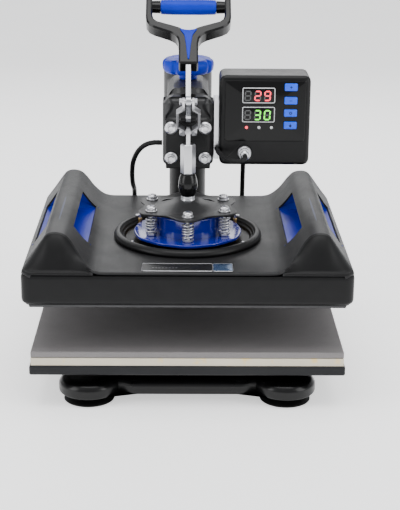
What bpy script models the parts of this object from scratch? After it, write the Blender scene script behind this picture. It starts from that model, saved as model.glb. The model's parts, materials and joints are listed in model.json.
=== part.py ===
"""Swing-away heat press: fixed base, column and lower board, swinging head, toggle handle and sprung upper platen.

Metres, +Z up, the operator stands at -Y. The origin is on the floor under the middle of the machine.
Depths in the calls are counted from the press shaft's axis, heights from the floor.
"""

from math import cos, pi, radians, sin, sqrt

import bmesh
import bpy
from mathutils import Matrix, Vector

SHAFT_Y = -0.061
COLUMN_BACK = 0.235
PAD_SIZE = (0.380, 0.290)
PAD_TOP = 0.075
GAP = 0.0003
HOUSING_WIDTH = 0.398
HOUSING_FRONT, HOUSING_BACK = -0.148, 0.195
HOUSING_BOTTOM, HOUSING_TOP = 0.135, 0.1735
COVER_TOP = 0.178
COVER_WALL = 0.003
RIDGE_X, RIDGE_Z = 0.159, 0.218
DISC_TOP = 0.187
SPRING_CIRCLE, SPRING_COUNT = 0.053, 6
PIVOT_Z = 0.336
CRANK = 0.030
STRAP = 0.04814
CRANK_LEAN = radians(45)
HANDLE_LEAN = radians(48)
LOWER_PIN_Z = PIVOT_Z - 0.022
KNOB_BACK = 0.120
CORD_RADIUS = 0.0035

COLOURS = {
    "black_gloss": ((0.010, 0.010, 0.011), 0.25, 0.0),
    "black_satin": ((0.035, 0.035, 0.036), 0.45, 0.0),
    "charcoal_cast": ((0.060, 0.060, 0.062), 0.40, 0.4),
    "blue": ((0.003, 0.050, 0.720), 0.35, 0.0),
    "zinc": ((0.72, 0.72, 0.74), 0.25, 1.0),
    "steel": ((0.55, 0.56, 0.58), 0.30, 1.0),
    "aluminium": ((0.60, 0.60, 0.62), 0.40, 1.0),
    "silicone": ((0.150, 0.140, 0.140), 0.85, 0.0),
    "fibre": ((0.62, 0.56, 0.42), 0.90, 0.0),
    "rubber": ((0.012, 0.012, 0.012), 0.70, 0.0),
    "button_blue": ((0.005, 0.180, 0.900), 0.35, 0.0),
    "display": ((0.020, 0.006, 0.006), 0.10, 0.0),
    "bronze": ((0.45, 0.27, 0.10), 0.35, 1.0),
    "circuit": ((0.010, 0.120, 0.040), 0.50, 0.0),
}


def clear_scene():
    for obj in list(bpy.data.objects):
        bpy.data.objects.remove(obj)


def material(name):
    found = bpy.data.materials.get(name)
    if found:
        return found
    colour, roughness, metallic = COLOURS[name]
    made = bpy.data.materials.new(name)
    made.use_nodes = True
    shader = made.node_tree.nodes["Principled BSDF"]
    shader.inputs["Base Color"].default_value = (*colour, 1)
    shader.inputs["Roughness"].default_value = roughness
    shader.inputs["Metallic"].default_value = metallic
    return made


def pivot(name, place, parent=None):
    """An empty on a joint's axis. Its pieces are parented to it."""
    empty = bpy.data.objects.new(name, None)
    bpy.context.scene.collection.objects.link(empty)
    empty["place"] = place
    origin = Vector(parent["place"]) if parent else Vector()
    empty.parent = parent
    empty.location = Vector(place) - origin
    return empty


def put(obj, finish, joint):
    """Links a piece made in world places, with its origin moved to its joint's axis."""
    bpy.context.scene.collection.objects.link(obj)
    obj.data.materials.append(material(finish))
    if joint:
        obj.data.transform(Matrix.Translation(-Vector(joint["place"])))
        obj.parent = joint
    if obj.type == "MESH":
        obj.data.shade_smooth()
        obj.data.set_sharp_from_angle(angle=radians(35))
    return obj


def mesh_piece(name, points, faces, finish, joint=None):
    """A closed mesh. Each point is (x, depth behind the shaft axis, height above the floor)."""
    mesh = bpy.data.meshes.new(name)
    mesh.from_pydata([(x, y + SHAFT_Y, z) for x, y, z in points], [], faces)
    bm = bmesh.new()
    bm.from_mesh(mesh)
    bmesh.ops.recalc_face_normals(bm, faces=bm.faces)
    bm.to_mesh(mesh)
    bm.free()
    return put(bpy.data.objects.new(name, mesh), finish, joint)


def block(name, xs, ys, zs, finish, joint=None, edge=0.0, segments=2):
    points = [(x, y, z) for x in xs for y in ys for z in zs]
    faces = [(0, 1, 3, 2), (4, 6, 7, 5), (0, 4, 5, 1), (2, 3, 7, 6), (0, 2, 6, 4), (1, 5, 7, 3)]
    obj = mesh_piece(name, points, faces, finish, joint)
    if edge:
        bevel(obj, edge, segments)
    return obj


def bevel(obj, width, segments=2, angle=40):
    modifier = obj.modifiers.new("Bevel", "BEVEL")
    modifier.width = width
    modifier.segments = segments
    modifier.limit_method = "ANGLE"
    modifier.angle_limit = radians(angle)


def turned(name, profile, centre, finish, joint=None, axis="Z", steps=32, ring=False):
    """A profile of (radius, distance along the axis) turned about an axis through centre.

    It starts and ends on the axis, or with ring it is a closed loop that stays clear of it.
    """
    points, rows = [], []
    for radius, along in profile:
        row = []
        for k in range(steps if radius > 0 else 1):
            a = 2 * pi * k / steps
            across = (radius * cos(a), radius * sin(a))
            if axis == "Z":
                local = (across[0], across[1], along)
            elif axis == "Y":
                local = (across[0], along, across[1])
            else:
                local = (along, across[0], across[1])
            row.append(len(points))
            points.append(tuple(c + p for c, p in zip(centre, local)))
        rows.append(row)
    faces = []
    pairs = list(zip(rows, rows[1:] + ([rows[0]] if ring else [])))
    for low, high in pairs if ring else pairs[: len(rows) - 1]:
        for k in range(steps):
            n = (k + 1) % steps
            if len(low) == 1:
                faces.append((low[0], high[n], high[k]))
            elif len(high) == 1:
                faces.append((low[k], low[n], high[0]))
            else:
                faces.append((low[k], low[n], high[n], high[k]))
    return mesh_piece(name, points, faces, finish, joint)


def rod(name, radius, ends, centre, finish, joint=None, axis="Z", steps=24):
    profile = [(0, ends[0]), (radius, ends[0]), (radius, ends[1]), (0, ends[1])]
    return turned(name, profile, centre, finish, joint, axis, steps)


def prism(name, outline, ends, finish, joint=None, axis="Y"):
    """A flat outline extruded between two ends along X, Y or Z."""
    points = []
    for end in ends:
        for a, b in outline:
            points.append({"X": (end, a, b), "Y": (a, end, b), "Z": (a, b, end)}[axis])
    count = len(outline)
    faces = [tuple(range(count)), tuple(range(count, 2 * count))]
    for k in range(count):
        n = (k + 1) % count
        faces.append((k, n, n + count, k + count))
    return mesh_piece(name, points, faces, finish, joint)


def combine(obj, other, operation, solver="EXACT"):
    """Cuts other from obj, or joins it on, and keeps other as a hidden guide."""
    modifier = obj.modifiers.new(other.name, "BOOLEAN")
    modifier.operation = operation
    modifier.solver = solver
    modifier.object = other
    other.hide_render = True
    other.display_type = "WIRE"


def cut(obj, *others):
    for other in others:
        combine(obj, other, "DIFFERENCE")


def join(obj, *others):
    for other in others:
        combine(obj, other, "UNION")


def smooth_path(places, spacing):
    """Points a spacing apart on a smooth curve through the places (Catmull-Rom)."""
    ends = [places[0] * 2 - places[1], *places, places[-1] * 2 - places[-2]]
    dense = []
    for a, b, c, d in zip(ends, ends[1:], ends[2:], ends[3:]):
        for k in range(24):
            t = k / 24
            dense.append(
                0.5 * (2 * b + (c - a) * t + (2 * a - 5 * b + 4 * c - d) * t * t
                       + (3 * b - 3 * c + d - a) * t ** 3)
            )
    dense.append(places[-1])
    total = sum((q - p).length for p, q in zip(dense, dense[1:]))
    count = max(2, round(total / spacing))
    out, run, k = [dense[0]], 0.0, 1
    for p, q in zip(dense, dense[1:]):
        step = (q - p).length
        while k < count and run + step >= total * k / count:
            out.append(p.lerp(q, (total * k / count - run) / step))
            k += 1
        run += step
    out.append(dense[-1])
    return out


def tube(name, places, radius, finish, joint=None, resolution=2):
    """A round tube along points given as (x, depth behind the shaft axis, height)."""
    curve = bpy.data.curves.new(name, "CURVE")
    curve.dimensions = "3D"
    curve.bevel_depth = radius
    curve.bevel_resolution = resolution
    curve.use_fill_caps = True
    spline = curve.splines.new("POLY")
    spline.points.add(len(places) - 1)
    for point, (x, y, z) in zip(spline.points, places):
        point.co = (x, y + SHAFT_Y, z, 1)
    return put(bpy.data.objects.new(name, curve), finish, joint)


# Fixed stand


def make_base():
    """Pressed steel frame: a rail at each end, a spine between them, and a domed lobe over each foot."""
    base = block(
        "base_frame", (-0.066, 0.066), (-0.100, 0.235), (0.014, 0.034), "black_gloss", edge=0.004,
        segments=1,
    )
    feet = {"front": -0.108, "back": COLUMN_BACK - 0.0025}
    for end, y in feet.items():
        rail = block(
            f"{end}_rail", (-0.120, 0.120), (y - 0.026, y + 0.026), (0.0150, 0.036), "black_gloss",
            edge=0.006, segments=1,
        )
        join(base, rail)
        for side, x in (("left", -0.122), ("right", 0.122)):
            lobe = turned(
                f"{end}_{side}_lobe",
                [
                    (0, 0.0122), (0.0370, 0.0122), (0.0375, 0.0150), (0.0375, 0.0245), (0.0345, 0.0290),
                    (0.0290, 0.0305), (0, 0.0315),
                ],
                (x, y, 0), "black_gloss", steps=20,
            )
            join(base, lobe)
            turned(
                f"suction_foot_{end}_{side}",
                [
                    (0, 0.002), (0.0240, 0.002), (0.0245, 0), (0.0305, 0), (0.0315, 0.0015),
                    (0.012, 0.0095), (0.012, 0.0119), (0, 0.0119),
                ],
                (x, y, 0), "rubber", steps=20,
            )
    socket = rod("column_socket", 0.0345, (0.030, 0.052), (0, COLUMN_BACK, 0), "black_gloss", steps=32)
    join(base, socket)
    cut(base, rod("socket_bore", 0.0263, (0.034, 0.060), (0, COLUMN_BACK, 0), "black_gloss", steps=32))
    turned(
        "column",
        [(0.0215, 0.0343), (0.026, 0.0343), (0.026, 0.338), (0.0215, 0.338)],
        (0, COLUMN_BACK, 0), "black_satin", steps=32, ring=True,
    )


def make_lower_platen():
    """Rails, folded tray, fibre board and silicone pad, stacked under the upper platen."""
    for side, sign in (("left", -1), ("right", 1)):
        x = 0.056 * sign
        rail = block(
            f"support_rail_{side}", (x - 0.0065, x + 0.0065), (-0.118, 0.120), (0.0363, 0.0447),
            "black_satin",
        )
        foot = (0.060 * sign, 0.088 * sign)
        bracket = block(
            f"{side}_bracket", (min(foot), max(foot)), (-0.122, -0.090), (0.0385, 0.0445), "zinc",
        )
        join(rail, bracket)
        hole = rod(
            f"{side}_bracket_hole", 0.003, (0.030, 0.050), (0.078 * sign, -0.106, 0), "zinc", steps=12,
        )
        cut(rail, hole)
    half, depth, middle = PAD_SIZE[0] / 2, PAD_SIZE[1] / 2, 0.003
    grow = 0.002
    tray = block(
        "lower_tray", (-half - grow, half + grow), (middle - depth - grow, middle + depth + grow),
        (0.045, 0.0567), "black_satin", edge=0.0015, segments=1,
    )
    hollow = block(
        "tray_hollow", (-half, half), (middle - depth, middle + depth), (0.040, 0.0545), "black_satin",
    )
    spine = block("tray_spine", (-0.070, 0.070), (-0.120, 0.122), (0.045, 0.0560), "black_satin")
    cut(tray, hollow)
    join(tray, spine)
    block("fibre_board", (-half, half), (middle - depth, middle + depth), (0.057, 0.0667), "fibre")
    block(
        "silicone_pad", (-half, half), (middle - depth, middle + depth), (0.067, PAD_TOP), "silicone",
        edge=0.001, segments=1,
    )


# Swinging head


def make_head(joint):
    """Casting on the column: collar, arm, front block with shoulders, and a crown under the knob."""
    casting = block(
        "head_casting", (-0.0325, 0.0325), (0.0283, 0.075), (0.261, 0.352), "charcoal_cast", joint,
        edge=0.006, segments=1,
    )
    arm = block(
        "arm", (-0.028, 0.028), (0.060, 0.235), (0.268, 0.345), "charcoal_cast", joint, edge=0.006,
        segments=1,
    )
    crown = block(
        "crown", (-0.0275, 0.0275), (0.052, 0.160), (0.300, 0.359), "charcoal_cast", joint, edge=0.008,
        segments=1,
    )
    collar = rod("collar", 0.034, (0.235, 0.350), (0, COLUMN_BACK, 0), "charcoal_cast", joint, steps=36)
    join(casting, arm, crown, collar)
    bore = rod(
        "collar_bore", 0.0286, (0.225, 0.3395), (0, COLUMN_BACK, 0), "charcoal_cast", joint, steps=36,
    )
    notch = block("lever_notch", (-0.009, 0.009), (0.020, 0.049), (0.338, 0.365), "charcoal_cast", joint)
    rod_hole = rod(
        "screw_hole", 0.0054, (0.300, 0.370), (0, KNOB_BACK, 0), "charcoal_cast", joint, steps=20,
    )
    cut(casting, bore, notch, rod_hole)
    turned(
        "column_bushing", [(0.0263, 0.238), (0.0283, 0.238), (0.0283, 0.334), (0.0263, 0.334)],
        (0, COLUMN_BACK, 0), "bronze", joint, steps=32, ring=True,
    )
    plate = block(
        "front_plate", (-0.0285, 0.0285), (0.022, 0.028), (0.261, 0.324), "black_satin", joint, edge=0.001,
        segments=1,
    )
    tongue = block(
        "plate_tongue", (-0.0095, 0.0095), (0.0221, 0.0279), (0.320, 0.3375), "black_satin", joint,
    )
    join(plate, tongue)
    for sign in (-1, 1):
        edges = sorted((0.0035 * sign, 0.0095 * sign))
        lug = prism(
            f"pivot_lug_{sign}", rounded_lug(0.008), edges, "black_satin", joint, axis="X",
        )
        join(plate, lug)
    join(
        plate,
        rod("pivot_pin", 0.004, (-0.0105, 0.0105), (0, 0, PIVOT_Z), "zinc", joint, axis="X", steps=20),
    )
    for row, z in (("upper", 0.3143), ("lower", 0.275)):
        for side, x in (("left", -0.0217), ("right", 0.0217)):
            head_bolt(f"flange_bolt_{row}_{side}", (x, 0, z), joint)
            hole = rod(
                f"{row}_{side}_hole", 0.0035, (0.018, 0.044), (x, 0, z), "zinc", joint, axis="Y", steps=8,
            )
            cut(plate, hole)
            cut(casting, hole)


def rounded_lug(radius):
    """Outline of a lug in depth and height: a round nose on the pivot, square where it meets the plate."""
    nose = [(-radius * cos(a), PIVOT_Z - radius * sin(a)) for a in (radians(k) for k in range(-90, 91, 18))]
    return [(0.026, PIVOT_Z + radius - 0.0065), *nose, (0.026, PIVOT_Z - radius)]


def head_bolt(name, centre, joint):
    """A flanged bolt along Y: a shank, a flange and a six-sided head."""
    bolt = turned(
        name,
        [
            (0, 0.0195), (0.0078, 0.0195), (0.0080, 0.0205), (0.0080, 0.0217), (0.003, 0.0217),
            (0.003, 0.040), (0, 0.040),
        ],
        centre, "zinc", joint, axis="Y", steps=12,
    )
    crown = rod(f"{name}_hex", 0.0066, (0.0145, 0.0200), centre, "zinc", joint, axis="Y", steps=6)
    join(bolt, crown)


def make_control_box(joint):
    """Plastic case beside the head, with a circuit board inside, a face panel, displays and a bracket."""
    left, right, low, high = 0.0395, 0.1545, 0.2665, 0.382
    case = block(
        "control_box", (left, right), (0.020, 0.075), (low, high), "black_satin", joint, edge=0.006,
        segments=2,
    )
    inside = block(
        "case_inside", (left + 0.003, right - 0.003), (0.0235, 0.0715), (low + 0.003, high - 0.003),
        "black_satin", joint,
    )
    vent = block("case_vent", (0.062, 0.132), (0.060, 0.090), (0.340, 0.350), "black_satin", joint)
    cut(case, inside, vent)
    block(
        "circuit_board", (left + 0.006, right - 0.006), (0.030, 0.0316), (low + 0.008, high - 0.008),
        "circuit", joint,
    )
    panel = block("control_panel", (0.0465, 0.1475), (0.0177, 0.0197), (0.300, 0.376), "black_gloss", joint)
    module = block("display_module", (0.068, 0.109), (0.0165, 0.0195), (0.3235, 0.3672), "display", joint)
    split = block("display_split", (0.060, 0.120), (0.015, 0.0190), (0.3425, 0.3482), "display", joint)
    opening = block("display_opening", (0.0677, 0.1093), (0.010, 0.030), (0.3232, 0.3675), "display", joint)
    cut(module, split)
    cut(panel, opening)
    for number, z in enumerate((0.3684, 0.3513, 0.3355, 0.3197), 1):
        slide = pivot(f"button_{number}_slide", (0.129, 0.0150 + SHAFT_Y, z), joint)
        block(
            f"button_{number}", (0.1208, 0.1372), (0.0150, 0.0185), (z - 0.0048, z + 0.0048),
            "button_blue", slide, edge=0.0008, segments=1,
        )
        hole = block(
            f"button_{number}_hole", (0.1204, 0.1376), (0.010, 0.0199), (z - 0.0052, z + 0.0052),
            "black_gloss", joint,
        )
        cut(panel, hole)
    block("control_bracket", (0.0329, 0.0391), (0.031, 0.068), (0.272, 0.348), "zinc", joint)
    turned(
        "cable_connector",
        [
            (0, 0.001), (0.0055, 0.001), (0.0055, 0.006), (0.0075, 0.007), (0.0075, 0.013),
            (0.0090, 0.014), (0.0090, 0.0197), (0, 0.0197),
        ],
        (0.0717, 0, 0.2836), "zinc", joint, axis="Y", steps=16,
    )
    turned(
        "mains_gland",
        [(0, 0.0753), (0.0085, 0.0753), (0.0085, 0.080), (0.0060, 0.083), (0.0045, 0.104), (0, 0.104)],
        (0.079, 0, 0.297), "rubber", joint, axis="Y", steps=14,
    )


def make_leads(joint):
    """The heater lead runs from the round connector into the head, and out of its other side to the platen."""
    tube(
        "sensor_lead",
        smooth_path(
            [Vector(p) for p in (
                (0.0717, -0.0004, 0.2836), (0.0715, -0.008, 0.2834), (0.068, -0.0130, 0.281), (
                    0.060, -0.0115, 0.2795,
                ),
                (0.051, -0.006, 0.2800), (0.0437, 0.003, 0.2825), (0.0385, 0.012, 0.2855), (0.0375, 0.020, 0.2865), (
                    0.0362, 0.0265, 0.287,
                ),
            )], 0.009),
        0.0030, "rubber", joint,
    )
    tube(
        "heater_lead",
        smooth_path(
            [Vector(p) for p in (
                (-0.0336, 0.052, 0.2880), (-0.046, 0.0530, 0.2875), (-0.057, 0.060, 0.2820), (
                    -0.0665, 0.076, 0.2690,
                ),
                (-0.0730, 0.098, 0.2500), (-0.0755, 0.125, 0.2280), (-0.0760, 0.152, 0.2080), (
                    -0.0755, 0.178, 0.1940,
                ),
                (-0.0755, 0.198, 0.1860), (-0.0755, 0.2080, 0.1740), (-0.0755, 0.2085, 0.1603),
            )], 0.014),
        0.0033, "rubber", joint,
    )


def mains_route():
    """The mains lead's route from its gland to the coil: back, down behind the platen, then along the floor."""
    return smooth_path(
        [Vector(p) for p in (
            (0.0790, 0.1043, 0.2970), (0.0790, 0.118, 0.2965), (0.0790, 0.135, 0.2930), (
                0.0790, 0.155, 0.2840,
            ),
            (0.0790, 0.176, 0.2680), (0.0790, 0.194, 0.2460), (0.0790, 0.207, 0.2190), (
                0.0790, 0.215, 0.1880,
            ),
            (0.0790, 0.220, 0.1560), (0.0790, 0.226, 0.1240), (0.0790, 0.236, 0.0940), (
                0.0788, 0.251, 0.0650,
            ),
            (0.0782, 0.271, 0.0380), (0.0770, 0.295, 0.0170), (0.0745, 0.322, 0.0062), (
                0.0700, 0.350, 0.0040,
            ),
            (0.0600, 0.376, 0.0039), (0.0430, 0.394, 0.0039), (0.0200, 0.4028, 0.0039), (
                -0.0050, 0.4040, 0.0039,
            ),
        )], 0.015)


def make_mains_lead(joint):
    """The stretch above the rear rail swings with the head. The rest, its coil and its plug lie on the floor."""
    route = mains_route()
    split = next(k for k, p in enumerate(route) if p.z < 0.073)
    tube("mains_lead_upper", route[:split], CORD_RADIUS, "rubber", joint)
    step = (route[split] - route[split - 1]).normalized() * GAP
    tube("mains_lead_lower", [route[split - 1] + step, *route[split:]], CORD_RADIUS, "rubber")
    turned(
        "mains_coil",
        [(0.0310, 0.0004), (0.0465, 0.0004), (0.0465, 0.0215), (0.0310, 0.0215)],
        (-0.0265, 0.354, 0), "rubber", steps=28, ring=True,
    )
    body = block(
        "mains_plug", (-0.112, -0.0735), (0.385, 0.409), (0.0004, 0.0204), "rubber", edge=0.004, segments=1,
    )
    join(
        body,
        rod("plug_relief", 0.0045, (-0.0750, -0.0535), (0, 0.397, 0.0104), "rubber", axis="X", steps=14),
    )
    for side, offset in (("near", -0.0064), ("far", 0.0064)):
        across = (0.397 + offset - 0.0008, 0.397 + offset + 0.0008)
        join(body, block(f"plug_blade_{side}", (-0.128, -0.110), across, (0.0070, 0.0134), "zinc"))


# Toggle


def lever_place(x, along, front):
    """A place on the leaning handle, from its distance along it and in front of its middle plane."""
    y = along * sin(HANDLE_LEAN) - front * cos(HANDLE_LEAN)
    z = PIVOT_Z + along * cos(HANDLE_LEAN) + front * sin(HANDLE_LEAN)
    return (x, y, z)


def lever_prism(name, outline, fronts, finish, joint):
    """An outline of (x, distance along the handle), extruded between two distances in front of its middle."""
    points = [lever_place(x, along, front) for front in fronts for x, along in outline]
    count = len(outline)
    faces = [tuple(range(count)), tuple(range(count, 2 * count))]
    faces += [(k, (k + 1) % count, (k + 1) % count + count, k + count) for k in range(count)]
    return mesh_piece(name, points, faces, finish, joint)


def mirrored(half):
    """A left-right outline from its right half, listed from bottom middle to top middle."""
    return half + [(-x, y) for x, y in reversed(half) if x > 0]


def make_handle(joint):
    """Flat steel lever with its crank, and a D-shaped hand grip pressed onto its top."""
    upper_pin = (0, -CRANK * sin(CRANK_LEAN), PIVOT_Z + CRANK * cos(CRANK_LEAN))
    bar = lever_prism(
        "lever_bar", [(-0.003, 0), (0.003, 0), (0.003, 0.094), (-0.003, 0.094)], (-0.007, 0.007), "steel",
        joint,
    )
    hub = rod("lever_hub", 0.009, (-0.003, 0.003), (0, 0, PIVOT_Z), "steel", joint, axis="X", steps=28)
    eye = rod("crank_eye", 0.0068, (-0.003, 0.003), upper_pin, "steel", joint, axis="X", steps=24)
    across = 0.0060
    c, s = cos(CRANK_LEAN) * across, sin(CRANK_LEAN) * across
    web = prism(
        "crank_web",
        [
            (-c, PIVOT_Z - s), (c, PIVOT_Z + s), (upper_pin[1] + c, upper_pin[2] + s),
            (upper_pin[1] - c, upper_pin[2] - s),
        ],
        (-0.003, 0.003), "steel", joint, axis="X",
    )
    join(bar, hub, web, eye)
    cut(bar, rod("hub_bore", 0.0043, (-0.01, 0.01), (0, 0, PIVOT_Z), "steel", joint, axis="X", steps=20))
    cut(bar, rod("eye_bore", 0.0033, (-0.01, 0.01), upper_pin, "steel", joint, axis="X", steps=16))

    frame = lever_prism(
        "handle_frame",
        mirrored([
            (0.0, 0.074), (0.0125, 0.074), (0.0125, 0.106), (0.0138, 0.114), (0.0175, 0.1195), (0.024, 0.1235), (
                0.044, 0.1315,
            ),
            (0.0505, 0.1355), (0.0545, 0.142), (0.0555, 0.150), (0.0555, 0.182), (0.0475, 0.182), (0.0470, 0.153), (
                0.0455, 0.147,
            ),
            (0.0410, 0.1430), (0.020, 0.1360), (0.0110, 0.1325), (0.0060, 0.1285), (0.0, 0.1272),
        ]),
        (-0.010, 0.010), "black_gloss", joint,
    )
    bevel(frame, 0.002, 1, 50)
    core = turned(
        "grip_core",
        [
            (0, -0.0490), (0.0080, -0.0490), (0.0086, -0.0366), (0.0062, -0.0366), (0.0062, 0.0366),
            (0.0086, 0.0366), (0.0080, 0.0490), (0, 0.0490),
        ],
        lever_place(0, 0.173, 0), "black_gloss", joint, axis="X", steps=24,
    )
    join(frame, core)
    cut(
        frame,
        lever_prism("bar_socket", [(-0.0034, 0.070), (0.0034, 0.070), (0.0034, 0.0945), (-0.0034, 0.0945)], (-0.0074, 0.0074), "black_gloss", joint),
    )
    turned(
        "grip_sleeve",
        [
            (0.0066, -0.0362), (0.0090, -0.0362), (0.0096, -0.030), (0.0096, 0.030), (0.0090, 0.0362),
            (0.0066, 0.0362),
        ],
        lever_place(0, 0.173, 0), "blue", joint, axis="X", steps=20, ring=True,
    )
    lever_prism(
        "stem_insert",
        [(-0.0018, 0.079), (0.0018, 0.079), (0.0045, 0.121), (0.0075, 0.1262), (-0.0075, 0.1262), (-0.0045, 0.121)],
        (0.0103, 0.0113), "blue", joint,
    )


def make_straps(joint):
    """Two straps bowed apart to pass the fixed pivot, held on one pin at the crank's eye."""
    top = Vector((0, -CRANK * sin(CRANK_LEAN), PIVOT_Z + CRANK * cos(CRANK_LEAN)))
    down = (Vector((0, 0, LOWER_PIN_Z)) - top).normalized()
    across = Vector((0, -down.z, down.y))
    half, ends = 0.005, (-0.005, STRAP + 0.005)
    stations = [
        ends[0] + 0.0003, -0.0035, 0.0, 0.010, 0.016, 0.037, 0.043, STRAP, STRAP + 0.0035, ends[1] - 0.0003,
    ]
    made = []
    for sign in (-1, 1):
        points, faces = [], []
        for at in stations:
            end = max(-at, at - STRAP, 0)
            width = sqrt(half * half - end * end)
            inner = 0.0045 if at <= 0.010 or at >= 0.043 else 0.012
            for x, w in ((inner, -width), (inner, width), (inner + 0.003, width), (inner + 0.003, -width)):
                p = top + down * at + across * w
                points.append((x * sign, p.y, p.z))
        for k in range(len(stations) - 1):
            a = 4 * k
            faces += [(a + c, a + (c + 1) % 4, a + 4 + (c + 1) % 4, a + 4 + c) for c in range(4)]
        faces += [(0, 1, 2, 3), (len(points) - 4, len(points) - 3, len(points) - 2, len(points) - 1)]
        name = "link_straps" if sign < 0 else "right_strap"
        made.append(mesh_piece(name, points, faces, "zinc", joint))
        foot = top + down * STRAP
        edges = sorted((0.0070 * sign, 0.0095 * sign))
        join(
            made[0],
            rod(f"lower_head_{sign}", 0.004, edges, tuple(foot), "zinc", joint, axis="X", steps=16),
        )
    join(made[0], made[1])
    join(made[0], rod("upper_pin", 0.003, (-0.0105, 0.0105), tuple(top), "zinc", joint, axis="X", steps=16))


def make_knob(joint):
    """Lobed pressure knob on its screw."""
    steps = 32
    points, rows = [], []
    profile = [(0.0, 0.3593, 0), (0.0125, 0.3593, 0), (0.0125, 0.3680, 0), (0.0330, 0.3680, 1), (
        0.0345, 0.3700, 1,
    ),
               (0.0345, 0.3830, 1), (0.0300, 0.3868, 0.7), (0.0, 0.3878, 0)]
    for radius, z, lobed in profile:
        row = []
        for k in range(steps if radius > 0 else 1):
            a = 2 * pi * k / steps
            r = radius * (1 - 0.05 * lobed * (1 - cos(8 * a)) / 2)
            row.append(len(points))
            points.append((r * cos(a), KNOB_BACK + r * sin(a), z))
        rows.append(row)
    faces = []
    for low, high in zip(rows, rows[1:]):
        for k in range(steps):
            n = (k + 1) % steps
            quad = (low[k % len(low)], low[n % len(low)], high[n % len(high)], high[k % len(high)])
            faces.append(tuple(dict.fromkeys(quad)))
    knob = mesh_piece("pressure_knob", points, faces, "blue", joint)
    cut(knob, rod("knob_bore", 0.0053, (0.355, 0.372), (0, KNOB_BACK, 0), "blue", joint, steps=20))
    rod("threaded_rod", 0.0050, (0.306, 0.3717), (0, KNOB_BACK, 0), "zinc", joint, steps=20)


# Upper platen


def cover_line(x):
    """Height of the cover's upper skin at a distance x from the middle."""
    a = abs(x)
    stops = [(0.0, COVER_TOP), (0.104, COVER_TOP + 0.0005), (0.118, 0.1830), (0.1300, 0.1925), (
        0.1450, 0.2130,
    ),
             (0.1510, 0.2170), (RIDGE_X, RIDGE_Z), (0.1665, 0.2170), (0.1720, 0.2125), (0.1950, 0.1805), (
                 0.1975, 0.1770,
             )]
    for (x0, z0), (x1, z1) in zip(stops, stops[1:]):
        if a <= x1:
            return z0 + (z1 - z0) * (a - x0) / (x1 - x0)
    return stops[-1][1]


def make_cover(joint):
    """Housing band, top cover with two hollow ridges, dark end caps, and blue liners inside the hand windows."""
    half = HOUSING_WIDTH / 2
    housing = block(
        "platen_housing", (-half, half), (HOUSING_FRONT, HOUSING_BACK), (HOUSING_BOTTOM, HOUSING_TOP), "black_satin", joint,
    )
    round_corners = housing.modifiers.new("Bevel", "BEVEL")
    round_corners.width = 0.005
    round_corners.segments = 1
    inner = 0.006
    cut(housing, block(
        "housing_inside", (-half + inner, half - inner), (HOUSING_FRONT + inner, HOUSING_BACK - inner), (0.10, 0.20), "black_satin", joint,
    ))
    ledge = block(
        "housing_ledge", (-half + 0.004, half - 0.004), (HOUSING_BACK - 0.030, HOUSING_BACK - 0.004),
        (0.168, 0.1730), "black_satin", joint,
    )
    gland = block(
        "lead_gland", (-0.0835, -0.0675), (HOUSING_BACK - 0.003, 0.2160), (0.144, 0.160), "rubber", joint,
    )
    join(housing, ledge, gland)
    across = [-0.1975, -0.195, -0.172, -0.1665, -RIDGE_X, -0.151, -0.145, -0.130, -0.118, -0.104]
    across += [-x for x in reversed(across)]
    upper = [(x, cover_line(x)) for x in across]
    lower = []
    for x in reversed(across):
        a = abs(x)
        inward = min(a, 0.1935) if a > 0.172 else a
        sink = COVER_WALL if a < 0.12 or 0.15 < a < 0.168 else 0.0048
        lower.append((inward if x > 0 else -inward, max(cover_line(inward) - sink, HOUSING_TOP + GAP)))
    cover = prism(
        "top_cover", upper + lower, (HOUSING_FRONT + 0.001, HOUSING_BACK - 0.001), "black_satin", joint,
    )
    for side, sign in (("left", -1), ("right", 1)):
        reach = sorted((0.1080 * sign, 0.21 * sign))
        cut(cover, block(f"{side}_front_step", reach, (-0.20, -0.117), (0.15, 0.25), "black_satin", joint))
        window = sorted((0.10 * sign, 0.21 * sign))
        cut(cover, block(f"{side}_window", window, (-0.060, 0.100), (0.1872, 0.2085), "black_satin", joint))
    cut(cover, rod("ring_hole", 0.0845, (0.15, 0.20), (0, 0, 0), "black_satin", joint, steps=36))
    for side, sign in (("left", -1), ("right", 1)):
        make_end_cap(side, sign, joint)
        make_liner(side, sign, joint)


def make_end_cap(side, sign, joint):
    """The dark front end of a ridge: it starts as the ridge's outline and falls away to the front edge."""
    across = [0.1084, 0.118, 0.130, 0.145, 0.151, RIDGE_X, 0.1665, 0.172, 0.195, 0.1975]
    stations = [
        (-0.1173, 1.0), (-0.124, 0.93), (-0.132, 0.66), (-0.140, 0.30), (-0.1445, 0.10), (-0.147, 0.0),
    ]
    floor = HOUSING_TOP + GAP
    points, faces = [], []
    for y, keep in stations:
        for x in across:
            points.append((x * sign, y, COVER_TOP - 0.0012 + (cover_line(x) - COVER_TOP + 0.0012) * keep))
        for x in reversed(across):
            points.append((x * sign, y, floor))
    count = 2 * len(across)
    for k in range(len(stations) - 1):
        for c in range(count):
            n = (c + 1) % count
            faces.append((k * count + c, k * count + n, (k + 1) * count + n, (k + 1) * count + c))
    faces.append(tuple(range(count)))
    faces.append(tuple(range(len(points) - count, len(points))))
    cap = mesh_piece(f"ridge_end_cap_{side}", points, faces, "black_satin", joint)
    cut(
        cap,
        rod(f"{side}_cap_recess", 0.004, (0.182, 0.25), (0.183 * sign, -0.131, 0), "black_satin", joint, steps=14),
    )


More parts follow.
